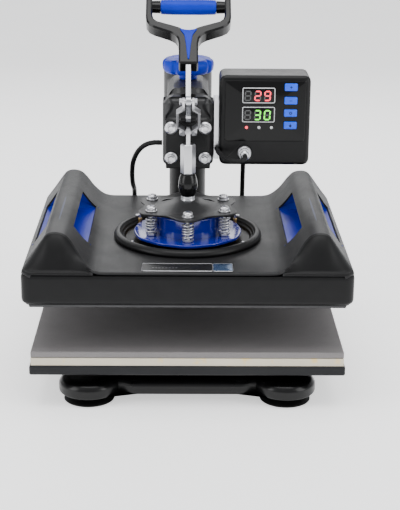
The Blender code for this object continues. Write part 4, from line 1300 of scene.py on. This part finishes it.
def makeTrim():
    # the rating plate's plain frame and fields, the levelling screws, the well screws and the cap screw seats
    level = 0.17805
    field = slab(
        roundedBox((-0.0540, 0.0290), (-0.1405, -0.1135), 0.0016, 4),
        edgeRows(level, level + 0.0005, 0.0002, 3), upright,
    )
    makePiece("plate_field", field, looks["satinTrim"], "platen")
    block = slab(
        roundedBox((0.0305, 0.0530), (-0.1405, -0.1135), 0.0016, 4),
        edgeRows(level, level + 0.0006, 0.0002, 3), upright,
    )
    makePiece("plate_block", block, looks["badgeBlue"], "platen")
    bead = [beadLoop((-0.0545, 0.0295), (-0.1410, -0.1130), level + 0.0003, 0.00034, upright),
            beadLoop((0.0303, 0.0535), (-0.1410, -0.1130), level + 0.0003, 0.00030, upright)]
    dash = [slab(
        roundedBox((-0.0430 + 0.004 * k, -0.0405 + 0.004 * k), (-0.1300, -0.1292), 0.0002, 3),
        [(0, level + 0.0004), (0, level + 0.0006)], upright,
    )
            for k in range(8)]
    makePiece("plate_frame", joined(*bead, *dash), looks["zinc"], "platen")
    screws, seats = [], []
    for side in (-1, 1):
        centre = at(0.0622 * side, 0.0400, 0)
        sleeve = turned(
            roundedLine(
                [(0.0032, 0.1767), (0.0034, 0.1800), (0.0026, 0.1812), (0.0026, 0.1890), (0.0020, 0.1896)],
                0.0004, closed=False, steps=3,
            ),
            centre, steps=32,
        )
        screws.append(sleeve)
        stem = turned(
            roundedLine(
                [(0.0013, 0.1890), (0.0013, 0.1962), (0.0008, 0.1970)], 0.0003, closed=False, steps=3,
            ),
            centre, steps=20,
        )
        knob = turned(
            roundedLine(
                [(0.0022, 0.1940), (0.0030, 0.1945), (0.0030, 0.1962), (0.0022, 0.1967)], 0.0003,
                closed=False, steps=3,
            ),
            centre + (0.0030 * side, 0, -0.002), steps=24,
        )
        seats += [stem, knob]
        for x, depth in ((0.0455, -0.0590), (0.0700, -0.0265)):
            place = at(x * side, depth, 0)
            seats.append(
                turned(
                    roundedLine(
                        [(0.0026, 0.1767), (0.0028, 0.1780), (0.0018, 0.1790), (0.0006, 0.1792)], 0.0005,
                        closed=False, steps=4,
                    ),
                    place, steps=28,
                )
            )
    makePiece("levelling_sleeves", joined(*screws), looks["bronze"], "platen")
    makePiece("well_screws", joined(*seats), looks["zinc"], "platen")


def beadLoop(x, y, level, radius, place, corner=0.0020):
    # a thin round bead along a rounded rectangle
    line = roundedBox(x, y, corner, 6)
    path = place(line[:, 0], line[:, 1], np.full(len(line), level))
    return swept(path, radius, sides=8, closed=True)


def makeRidgeLines():
    # a fine raised bead along each ridge's outer shoulder in lighter charcoal, a painted highlight line, and
    # a slim dark lens on its crest, painted shade of a groove
    half, height = coverProfile()
    beads, grooveShades = [], []
    for side in (-1, 1):
        depth = np.linspace(cover["ridgeFront"] + 0.002, cover["back"] - 0.018, 60)
        x = 0.1712
        z = np.interp(x, half, height)
        path = np.stack([np.full(60, x * side), depth + shaftY, np.full(60, z)], -1)
        beads.append(swept(path, 0.00055, sides=8))
        t = np.linspace(0, tau, 48, endpoint=False)
        lens = np.stack([0.1585 * side + 0.0011 * np.sin(t), -0.012 + 0.052 * np.cos(t)], -1)
        crest = np.interp(0.1585, half, height)
        grooveShades.append(slab(lens, [(0, crest - 0.0004), (0, crest + 0.00008)], upright))
    # the bead's lighter charcoal paints the shoulder's highlight line; the dark lens paints a groove's shade
    makePiece("ridge_highlight_beads", joined(*beads), looks["domeCharcoal"], "platen")
    makePiece("ridge_groove_shade", joined(*grooveShades), looks["darkPrintAndShade"], "platen")


def makeCapSeats():
    # a dark oval cup low on each cap's outer shoulder, painted shade of a hollow seat, ringed by a thin lip
    for side, name in ((-1, "left"), (1, "right")):
        centre = Vector(at(0.1838 * side, -0.1315, 0))
        cap = bpy.data.objects[f"ridge_cap_{name}"]
        found, place, normal, _ = cap.closest_point_on_mesh((centre.x, centre.y, 0.1850))
        if not found:
            continue
        turn = Vector((0, 0, 1)).rotation_difference(normal).to_matrix().to_4x4()
        spot = Matrix.Translation(place) @ turn
        stretch = Matrix.Diagonal((1.0, 1.5, 1.0, 1.0))
        cup = moved(
            turned([(0.0034, -0.0010), (0.0036, 0.0003), (0.0030, 0.00045)], (0, 0, 0), steps=36),
            spot @ stretch,
        )
        lip = moved(
            turned(
                roundedLine(
                    [(0.0034, -0.0006), (0.0043, -0.0006), (0.0042, 0.0004), (0.0035, 0.0008)], 0.0002,
                ),
                (0, 0, 0), steps=36, ring=True,
            ),
            spot @ stretch,
        )
        # painted shade: the dark oval stands for the hollow of the seat
        makePiece(f"cap_seat_shade_{name}", cup, looks["darkPrintAndShade"], "platen")
        makePiece(f"cap_lip_{name}", lip, looks["satinHousing"], "platen")


# ---- head: casting, plate, knob, handle and toggle ----


def evaluatedMesh(obj):
    graph = bpy.context.evaluated_depsgraph_get()
    return bpy.data.meshes.new_from_object(obj.evaluated_get(graph))


def makeCasting():
    # the part's solid remeshed and softened, then carved: a recess that widens downwards between two
    # S-shaped ridges, a rounded crown, and a valley down its middle
    source = nodes["head_casting"]
    shape = bmesh.new()
    shape.from_mesh(source.data)
    bmesh.ops.remove_doubles(shape, verts=shape.verts, dist=1e-5)
    mesh = bpy.data.meshes.new("casting_raw")
    shape.to_mesh(mesh)
    shape.free()
    obj = bpy.data.objects.new("casting_raw", mesh)
    bpy.context.scene.collection.objects.link(obj)
    voxels = obj.modifiers.new("voxels", "REMESH")
    voxels.mode, voxels.voxel_size = "VOXEL", 0.0014
    soften = obj.modifiers.new("soften", "SMOOTH")
    soften.factor, soften.iterations = 0.5, 7
    final = evaluatedMesh(obj)
    bpy.data.objects.remove(obj)
    count = len(final.vertices)
    points = np.empty(count * 3, np.float32)
    final.vertices.foreach_get("co", points)
    p = points.reshape(-1, 3).astype(float)
    normals = np.empty(count * 3, np.float32)
    final.vertices.foreach_get("normal", normals)
    facingFront = np.clip(-normals.reshape(-1, 3)[:, 1], 0, 1)
    side, depth, z = np.abs(p[:, 0]), p[:, 1] - shaftY, p[:, 2]
    bound = np.interp(z, (0.322, 0.328, 0.336, 0.343, 0.350), (0.0300, 0.0285, 0.0225, 0.0208, 0.0245))
    block = (depth < 0.050) & (z > 0.318) & (z < 0.356)
    recess = (1 - smoothStep(side, bound - 0.0016, bound)) * block * smoothStep(z, 0.320, 0.326)
    p[:, 1] += 0.0055 * recess * smoothStep(facingFront, 0.2, 0.6)
    shoulder = block * smoothStep(side, 0.020, 0.0325) * smoothStep(z, 0.340, 0.352)
    p[:, 2] -= 0.0050 * shoulder
    crown = (depth > 0.044) & (depth < 0.170) & (z > 0.346)
    p[:, 2] -= crown * 0.0055 * np.clip(side / 0.0275, 0, 1) ** 3
    chamfer = (depth < 0.075) & (depth > 0.045) & (z > 0.344)
    p[:, 1] += chamfer * 0.010 * smoothStep(side, 0.014, 0.0275) * smoothStep(facingFront, 0.1, 0.5)
    valley = chamfer * (1 - smoothStep(side, 0.002, 0.0105)) * smoothStep(facingFront, 0.1, 0.5)
    p[:, 1] += valley * 0.0060
    final.vertices.foreach_set("co", p.astype(np.float32).ravel())
    final.update()
    final.shade_smooth()
    final.materials.clear()
    final.materials.append(looks["castCharcoal"])
    casting = bpy.data.objects.new("cast_head", final)
    bpy.context.scene.collection.objects.link(casting)
    even = casting.modifiers.new("even", "SMOOTH")
    even.factor, even.iterations = 0.5, 3
    dress(casting, "head", ["head_casting"])


def flangeBolt(x, z):
    # a hex head with a dished top on a round flange
    centre = at(x, 0, z)
    flange = turned(roundedLine(
        [
            (0.0030, 0.0217 + shaftY), (0.0080, 0.0217 + shaftY), (0.0082, 0.0203 + shaftY),
            (0.0066, 0.0190 + shaftY),
        ],
        0.0006, closed=False, steps=4,
    ),
                    (centre[0], 0, centre[2]), axis="Y", steps=48)
    rows = roundedLine([
        (0.0056, 0.0192 + shaftY), (0.0059, 0.0186 + shaftY), (0.0059, 0.0155 + shaftY),
        (0.0048, 0.0143 + shaftY), (0.0040, 0.0145 + shaftY), (0.0030, 0.0152 + shaftY),
        (0.0006, 0.0153 + shaftY),
    ],
                       0.0004, closed=False, steps=3)
    return joined(flange, turned(rows, (centre[0], 0, centre[2]), axis="Y", steps=72, radiusOf=hexagon))


def makeBolts():
    for row, z in (("upper", 0.3143), ("lower", 0.2750)):
        for side, x in (("left", -0.0217), ("right", 0.0217)):
            name = f"flange_bolt_{row}_{side}"
            makePiece(f"{name}_head", flangeBolt(x, z), looks["zinc"], "head", [name])


knob = {"depth": 0.120, "radius": 0.0345, "low": 0.3680, "high": 0.3878, "notches": 8}


def makeKnob():
    # broad lobes parted by narrow notches, a dished top with a raised hub, on a round neck
    step = tau / knob["notches"]
    away = lambda angle: np.abs((angle + step * 0.25) % step - step / 2)
    lobes = lambda angle: 1 - 0.085 * np.exp(-((away(angle) / 0.105) ** 2)) - 0.012 * np.cos(
        knob["notches"] * (angle + step * 0.25)
    )
    low, high, radius = knob["low"], knob["high"], knob["radius"]
    rows = roundedLine(
        [(0.0120, low + 0.0015), (0.0300, low), (radius - 0.0012, low + 0.0030), (radius, low + 0.0110),
        (radius - 0.0014, high - 0.0035),
         (radius - 0.0070, high - 0.0004), (0.0190, high - 0.0022), (0.0140, high - 0.0004),
         (0.0050, high - 0.0002)],
        0.0030, closed=False, steps=6)
    fade = lambda radiusNow: np.clip((radiusNow - 0.014) / 0.014, 0, 1)
    angle = np.linspace(0, tau, 240, endpoint=False)
    line = np.array(rows)
    scale = 1 + (lobes(angle)[None] - 1) * fade(line[:, :1])
    r = line[:, :1] * scale
    centre = at(0, knob["depth"], 0)
    grid = np.stack(
        [
            centre[0] + r * np.cos(angle), centre[1] + r * np.sin(angle),
            np.broadcast_to(line[:, 1:], r.shape),
        ],
        -1,
    )
    neck = turned(
        roundedLine([(0.0118, 0.3594), (0.0124, 0.3610), (0.0124, 0.3700)], 0.0005, closed=False, steps=4),
        centre, steps=72,
    )
    makePiece(
        "star_knob", joined(shellOf(grid), neck), looks["bluePlastic"], "knob",
        ["pressure_knob"],
    )


lean = radians(48)


def leverPoint(x, along, front):
    # a place on the leaning lever: distance along it and in front of its middle plane
    return np.stack(
        np.broadcast_arrays(
            x, along * sin(lean) - front * cos(lean) + shaftY,
            0.336 + along * cos(lean) + front * sin(lean),
        ),
        -1,
    )


def makeGrip():
    # a barrelled sleeve whose radius carries a fine diamond relief, and its two smooth tapering ends
    along = np.linspace(-0.0362, 0.0362, 190)
    angle = np.linspace(0, tau, 108, endpoint=False)
    part = along / 0.0362
    barrel = 0.0099 - 0.0006 * part**4 - 0.0010 * (np.abs(part) > 0.992)
    u, v = angle[None] * 26, along[:, None] * 2400
    relief = 0.00024 * np.clip(np.sin(u + v * 0.5) * np.sin(u - v * 0.5), 0, 1) ** 0.7
    radius = barrel[:, None] + relief * (np.abs(part[:, None]) < 0.94)
    centre = leverPoint(0.0, 0.173, 0.0)
    grid = np.stack(
        [
            np.broadcast_to(along[:, None], radius.shape), centre[1] + radius * np.cos(angle),
            centre[2] + radius * np.sin(angle),
        ],
        -1,
    )
    makePiece(
        "ribbed_sleeve", shellOf(grid), looks["bluePlastic"], "handle", ["grip_sleeve"],
        sharp=0,
    )


def makeInset():
    # the blue tongue let into the stem: cupped at its top, drawn to a point below
    outline = roundedLine(
        [(-0.0010, 0.0800), (0.0010, 0.0800), (0.0030, 0.1030), (0.0052, 0.1185), (0.0098, 0.1258),
            (0.0112, 0.1290),
            (0.0066, 0.1272),
         (0.0, 0.1262), (-0.0066, 0.1272), (-0.0112, 0.1290), (-0.0098, 0.1258), (-0.0052, 0.1185),
         (-0.0030, 0.1030)],
        0.0022, steps=6)
    shell = slab(outline, edgeRows(0.0085, 0.0116, 0.0006, 4), leverPoint)
    makePiece("stem_tongue", shell, looks["bluePlastic"], "handle", ["stem_insert"])


def makeNuts():
    # hex nuts and washers at both ends of the straps' pins
    shells = []
    for depth, z in ((-0.02121, 0.35721), (0, 0.314)):
        for side in (-1, 1):
            rows = roundedLine(
                [(0.0030, 0.0076), (0.0040, 0.0076), (0.0040, 0.0104), (0.0032, 0.0109), (0.0016, 0.0111)],
                0.0003, closed=False, steps=3,
            )
            rows = np.array(rows) * (1, side)
            shells.append(turned(rows, at(0, depth, z), axis="X", steps=36, radiusOf=hexagon))
    makePiece("strap_nuts", joined(*shells), looks["zinc"], "straps")


# ---- controller ----

panel = {"case": (0.0395, 0.1545, 0.2665, 0.3820), "front": 0.0200, "back": 0.0750, "face": 0.0176}
segmentsOf = {"0": "abcdef", "2": "abged", "3": "abgcd", "8": "abcdefg", "9": "abcdfg"}


def segmentShells(x, z, width, height, names):
    # lozenge bars of a seven-bar digit leaning slightly right
    thick, gap, level = 0.00085, 0.0003, 0.01585
    half = height / 2
    bars = {
        "a": (0, height, 1), "g": (0, half, 1), "d": (0, 0, 1), "f": (0, half, 0), "e": (0, 0, 0),
        "b": (width, half, 0), "c": (width, 0, 0),
    }
    shells = []
    for name in names:
        across, up, flat = bars[name]
        if flat:
            line = [
                (gap, up), (gap + thick, up + thick), (width - gap - thick, up + thick), (width - gap, up),
                (width - gap - thick, up - thick), (gap + thick, up - thick),
            ]
        else:
            line = [(across, up + gap), (across + thick, up + gap + thick),
                (across + thick, up + half - gap - thick),
                (across, up + half - gap),
                    (across - thick, up + half - gap - thick), (across - thick, up + gap + thick)]
        outline = np.array([(x + a + 0.06 * b, z + b) for a, b in line])
        shells.append(slab(outline, [(0, level), (0, level - 0.0002)], facing))
    return shells


def makeController():
    left, right, low, high = panel["case"]
    case = slab(
        roundedBox((left, right), (low, high), 0.0095, 10),
        edgeRows(panel["front"], panel["back"], 0.0055, 9), facing,
    )
    makePiece("controller_case", case, looks["satinTrim"], "head", ["control_box"])
    # painted shade: dark strips on the case's back stand for its vent slots
    ventShades = [
        slab(roundedBox((0.062, 0.132), (0.338 + 0.005 * k, 0.3402 + 0.005 * k), 0.001, 4),
            [(0, 0.0746), (0, 0.07515)], facing) for k in range(
            4
        )
    ]
    makePiece("vent_slot_shade", joined(*ventShades), looks["darkPrintAndShade"], "head")
    face = slab(
        roundedBox((0.0462, 0.1478), (0.2985, 0.3763), 0.0045, 7), edgeRows(0.0200, 0.0177, 0.0007, 4),
        facing,
    )
    makePiece("panel_face", face, looks["panelGloss"], "head", ["control_panel"])
    windows, beads = [], []
    for z in (0.3235, 0.3480):
        windows.append(
            slab(
                roundedBox((0.0690, 0.1082), (z + 0.0008, z + 0.0186), 0.0012, 4),
                edgeRows(0.0178, 0.0163, 0.0002, 3), facing,
            )
        )
        beads.append(beadLoop((0.0686, 0.1086), (z + 0.0004, z + 0.0190), 0.0168, 0.00062, facing, 0.0016))
    makePiece(
        "display_windows", joined(*windows), looks["panelGloss"], "head", ["display_module"],
    )
    makePiece("display_frames", joined(*beads), looks["inkWhite"], "head")
    lit = {"redGlow": [], "greenGlow": [], "unlitSegment": []}
    for z, text, glow in ((0.3516, "29", "redGlow"), (0.3271, "30", "greenGlow")):
        lit["unlitSegment"] += segmentShells(0.0712, z, 0.0068, 0.0114, "abcdefg")
        for k, digit in enumerate(text):
            x = 0.0836 + 0.0122 * k
            lit[glow] += segmentShells(x, z, 0.0068, 0.0114, segmentsOf[digit])
            lit["unlitSegment"] += segmentShells(
                x, z, 0.0068, 0.0114, [name for name in "abcdefg" if name not in segmentsOf[digit]],
            )
    for look, shells in lit.items():
        makePiece(f"segments_{look}", joined(*shells), looks[look], "head")
    lamps = []
    for x in (0.0738, 0.0896, 0.1053):
        lamps.append(
            turned(
                roundedLine(
                    [(0.0019, 0.0178 + shaftY), (0.0019, 0.0170 + shaftY), (0.0004, 0.0164 + shaftY)],
                    0.0005, closed=False, steps=4,
                ),
                (x, 0, 0.3164), axis="Y", steps=28,
            )
        )
    makePiece("lamp_lit", lamps[0], looks["redGlow"], "head")
    makePiece("lamps_unlit", joined(*lamps[1:]), looks["inkWhite"], "head")


def makeButtons():
    for number, z in enumerate((0.3684, 0.3513, 0.3355, 0.3197), 1):
        centre = 0.1290
        body = slab(
            roundedBox((centre - 0.0081, centre + 0.0081), (z - 0.0047, z + 0.0047), 0.0018, 6),
            edgeRows(0.0185, 0.0151, 0.0009, 4), facing,
        )
        makePiece(
            f"button_{number}_cap", body, looks["buttonBlue"], f"button_{number}_body",
            [f"button_{number}"],
        )
        marks = []
        bar = lambda w, h: slab(
            roundedBox((centre - w, centre + w), (z - h, z + h), min(w, h) * 0.6, 4),
            [(0, 0.0152), (0, 0.0149)], facing,
        )
        if number in (1, 2):
            marks.append(bar(0.0018, 0.0004))
        if number == 1:
            marks.append(bar(0.0004, 0.0018))
        if number == 3:
            marks.append(
                turned(
                    [
                        (0.0008, 0.0152 + shaftY), (0.0019, 0.0152 + shaftY), (0.0019, 0.0149 + shaftY),
                        (0.0008, 0.0149 + shaftY),
                    ],
                    (centre, 0, z), axis="Y", steps=32, ring=True,
                )
            )
        if number == 4:
            marks.append(
                turned(
                    [(0.0016, 0.0152 + shaftY), (0.0016, 0.0149 + shaftY)], (centre, 0, z - 0.0004),
                    axis="Y", steps=32,
                )
            )
            marks.append(bar(0.0004, 0.0022))
        makePiece(
            f"button_{number}_mark", joined(*marks), looks["darkPrintAndShade"], f"button_{number}_body",
        )


def makeConnector():
    # a knurled coupling ring on a flanged socket, with a short back shell
    knurl = lambda angle: 1 + 0.03 * np.sin(angle * 24)
    y = shaftY
    ring = turned(
        roundedLine(
            [(0.0064, y + 0.0125), (0.0075, y + 0.0120), (0.0075, y + 0.0066), (0.0064, y + 0.0060)],
            0.0005, closed=False, steps=4,
        ),
        (0.0717, 0, 0.2836), axis="Y", steps=96, radiusOf=knurl,
    )
    flange = turned(
        roundedLine(
            [
                (0.0088, y + 0.0196), (0.0090, y + 0.0170), (0.0080, y + 0.0150), (0.0066, y + 0.0146),
                (0.0066, y + 0.0120),
            ],
            0.0006, closed=False, steps=4,
        ),
        (0.0717, 0, 0.2836), axis="Y", steps=64,
    )
    shell = turned(
        roundedLine(
            [(0.0058, y + 0.0062), (0.0058, y + 0.0030), (0.0042, y + 0.0010), (0.0034, y + 0.0006)],
            0.0008, closed=False, steps=4,
        ),
        (0.0717, 0, 0.2836), axis="Y", steps=48,
    )
    makePiece(
        "round_connector", joined(flange, ring, shell), looks["zinc"], "head", ["cable_connector"],
    )


# ---- base ----

base = {
    "rails": (-0.108, 0.2325), "foot": 0.122, "pan": 0.0375, "waist": 0.0190, "low": 0.0123, "high": 0.0318,
}


def dogBone(depth):
    # half-width: the pan's circle outside, easing to the waist between the two pans
    x = np.concatenate(
        [base["foot"] + base["pan"] * np.sin(np.linspace(pi / 2, -0.6, 26)), np.linspace(0.098, 0, 16)]
    )
    circle = np.sqrt(np.maximum(base["pan"] ** 2 - (x - base["foot"]) ** 2, 0))
    width = base["waist"] + (circle - base["waist"]) * smoothStep(x, 0.066, 0.102)
    width = np.where(x > base["foot"], circle, width)
    quarter = np.stack([x, width], -1)
    back = np.concatenate([quarter, (quarter * (-1, 1))[::-1][1:]])
    front = (back * (1, -1))[::-1][1:-1]
    return np.concatenate([back, front]) + (0, depth)


def makeBase():
    low, high = base["low"], base["high"]
    rows = roundedLine([
        (0.004, low), (0.0004, low), (0.0, low + 0.0030), (0.0, low + 0.0115), (0.0042, high - 0.0028),
        (0.0105, high - 0.0004), (0.0160, high),
    ],
                       0.0022, closed=False, steps=6)
    shells = [slab(dogBone(depth), rows, upright) for depth in base["rails"]]
    shells.append(
        slab(
            roundedBox((-0.060, 0.060), (-0.095, 0.232), 0.010, 7), edgeRows(0.0145, 0.0338, 0.0032, 6),
            upright,
        )
    )
    socket = roundedLine(
        [
            (0.0340, 0.0300), (0.0345, 0.0340), (0.0345, 0.0500), (0.0335, 0.0518), (0.0264, 0.0518),
            (0.0264, 0.0345),
        ],
        0.0012, closed=False, steps=5,
    )
    socket = np.concatenate([socket, [(0.0264, 0.0300)]])
    shells.append(turned(socket, at(0, 0.235, 0), steps=96, ring=True))
    makePiece("base_pressing", joined(*shells), looks["enamelBlack"], "root", ["base_frame"])
    for end, depth in zip(("front", "back"), base["rails"]):
        for side, x in (("left", -base["foot"]), ("right", base["foot"])):
            rows = roundedLine([(0.0010, 0.0022), (0.0236, 0.0022), (0.0246, 0.0001), (0.0302, 0.0),
                (0.0316, 0.0006),
                (0.0314, 0.0020),
                                (0.0255, 0.0044), (0.0190, 0.0078), (0.0135, 0.0098), (0.0124, 0.0119),
                                    (0.0010, 0.0121)], 0.0010, closed=False, steps=4)
            node = f"suction_foot_{end}_{side}"
            makePiece(
                f"{node}_cup", turned(rows, at(x, depth, 0), steps=96), looks["blackRubber"], "root",
                [node],
            )
    clips, holeShades = [], []
    for side in (-1, 1):
        outline = np.array([(0.0592, 0.0388), (0.0612, 0.0382), (0.0868, 0.0382), (0.0888, 0.0388),
            (0.0896, 0.0446), (0.0584, 0.0446)]) * (
            side, 1,
        )
        clips.append(slab(outline, edgeRows(-0.1228, -0.1205, 0.0003, 3), facing))
        # painted shade: dark discs on each clip stand for its two holes
        for x in (0.0640, 0.0840):
            holeShades.append(
                turned(
                    [(0.0010, -0.1226 + shaftY), (0.0010, -0.12295 + shaftY)], (x * side, 0, 0.0412),
                    axis="Y", steps=20,
                )
            )
    makePiece("rail_clips", joined(*clips), looks["zinc"], "root")
    makePiece("clip_hole_shade", joined(*holeShades), looks["darkPrintAndShade"], "root")


makeLiners()
makeTrim()
makeCapSeats()
makeRidgeLines()
print("platen trim")
makeCasting()
makeBolts()
makeKnob()
makeGrip()
makeInset()
makeNuts()
print("head and handle")
makeController()
makeButtons()
makeConnector()
print("controller")
makeBase()
print("base")

# ---- carried-over parts ----


def polish(node, look, width=0.0006, segments=2, sharp=32):
    # a merged copy of the part with its flat faces made whole and its edges rounded
    source = nodes[node]
    shape = bmesh.new()
    shape.from_mesh(source.data)
    bmesh.ops.remove_doubles(shape, verts=shape.verts, dist=1e-5)
    bmesh.ops.dissolve_limit(
        shape, angle_limit=radians(0.6), verts=shape.verts, edges=shape.edges, delimit={"NORMAL"},
    )
    mesh = bpy.data.meshes.new(f"{node}_finished")
    shape.to_mesh(mesh)
    shape.free()
    mesh.materials.clear()
    mesh.materials.append(looks[look])
    mesh.shade_smooth()
    mesh.set_sharp_from_angle(angle=radians(sharp))
    obj = bpy.data.objects.new(f"{node}_finished", mesh)
    bpy.context.scene.collection.objects.link(obj)
    if width:
        bevel = obj.modifiers.new("edges", "BEVEL")
        bevel.width, bevel.segments = width, segments
        bevel.limit_method, bevel.angle_limit = "ANGLE", radians(sharp)
        bevel.harden_normals = True
        bevel.miter_outer = "MITER_ARC"
    return dress(obj, bodyOf(node), [node])


polished = {
    "base_frame": ("enamelBlack", 0.0016), "column": ("powderBlack", 0.0008), "support_rail_left": (
        "powderBlack", 0.0006,
    ),
    "support_rail_right": ("powderBlack", 0.0006), "lower_tray": ("trayBlack", 0.0007), "fibre_board": (
        "fibreCream", 0.0004,
    ),
    "silicone_pad": ("foamGrey", 0.0008), "head_casting": ("castCharcoal", 0.002), "column_bushing": (
        "bronze", 0.0004,
    ),
    "front_plate": ("satinTrim", 0.0008), "control_box": ("satinTrim", 0.0012), "circuit_board": (
        "circuitGreen", 0.0002,
    ),
    "control_panel": ("panelGloss", 0.0003), "display_module": ("panelGloss", 0.0003), "control_bracket": (
        "zinc", 0.0004,
    ),
    "cable_connector": ("zinc", 0.0004), "lever_bar": ("machinedSteel", 0.0008), "handle_frame": (
        "glossBlack", 0.0030,
    ),
    "grip_sleeve": ("bluePlastic", 0.0004), "stem_insert": ("bluePlastic", 0.0003), "link_straps": (
        "zinc", 0.0005,
    ),
    "pressure_knob": ("bluePlastic", 0.0015), "threaded_rod": ("machinedSteel", 0.0003), "platen_housing": (
        "satinHousing", 0.001,
    ),
    "top_cover": ("satinCover", 0.001), "ridge_end_cap_left": ("satinHousing", 0.001),
        "ridge_end_cap_right": (
        "satinHousing", 0.001,
    ),
    "window_liner_left": ("blueLiner", 0.0005), "window_liner_right": ("blueLiner", 0.0005),
    "heating_plate": ("platedAluminium", 0.0008), "ring_bezel": ("satinTrim", 0.0004), "spring_disc": (
        "blueEnamel", 0.0006,
    ),
    "dome_plate": ("domeCharcoal", 0.0005), "press_shaft": ("zinc", 0.0004), "shaft_cap": (
        "glossBlack", 0.0004,
    ),
}
polished |= {node: ("zinc", 0.0004) for node in nodes if node.startswith("flange_bolt")}
polished |= {node: ("blackRubber", 0.0010) for node in nodes if node.startswith("suction_foot")}
polished |= {node: ("zinc", 0) for node in nodes if node.startswith("spring_") and node != "spring_disc"}
polished |= {node: ("buttonBlue", 0.0006) for node in nodes if node.startswith("button_")}


def polishRest():
    for node, (look, width) in polished.items():
        if not nodes[node].hide_render:
            polish(node, look, width, segments=4 if width > 0.0025 else 2)


polishRest()
print("carried-over parts")
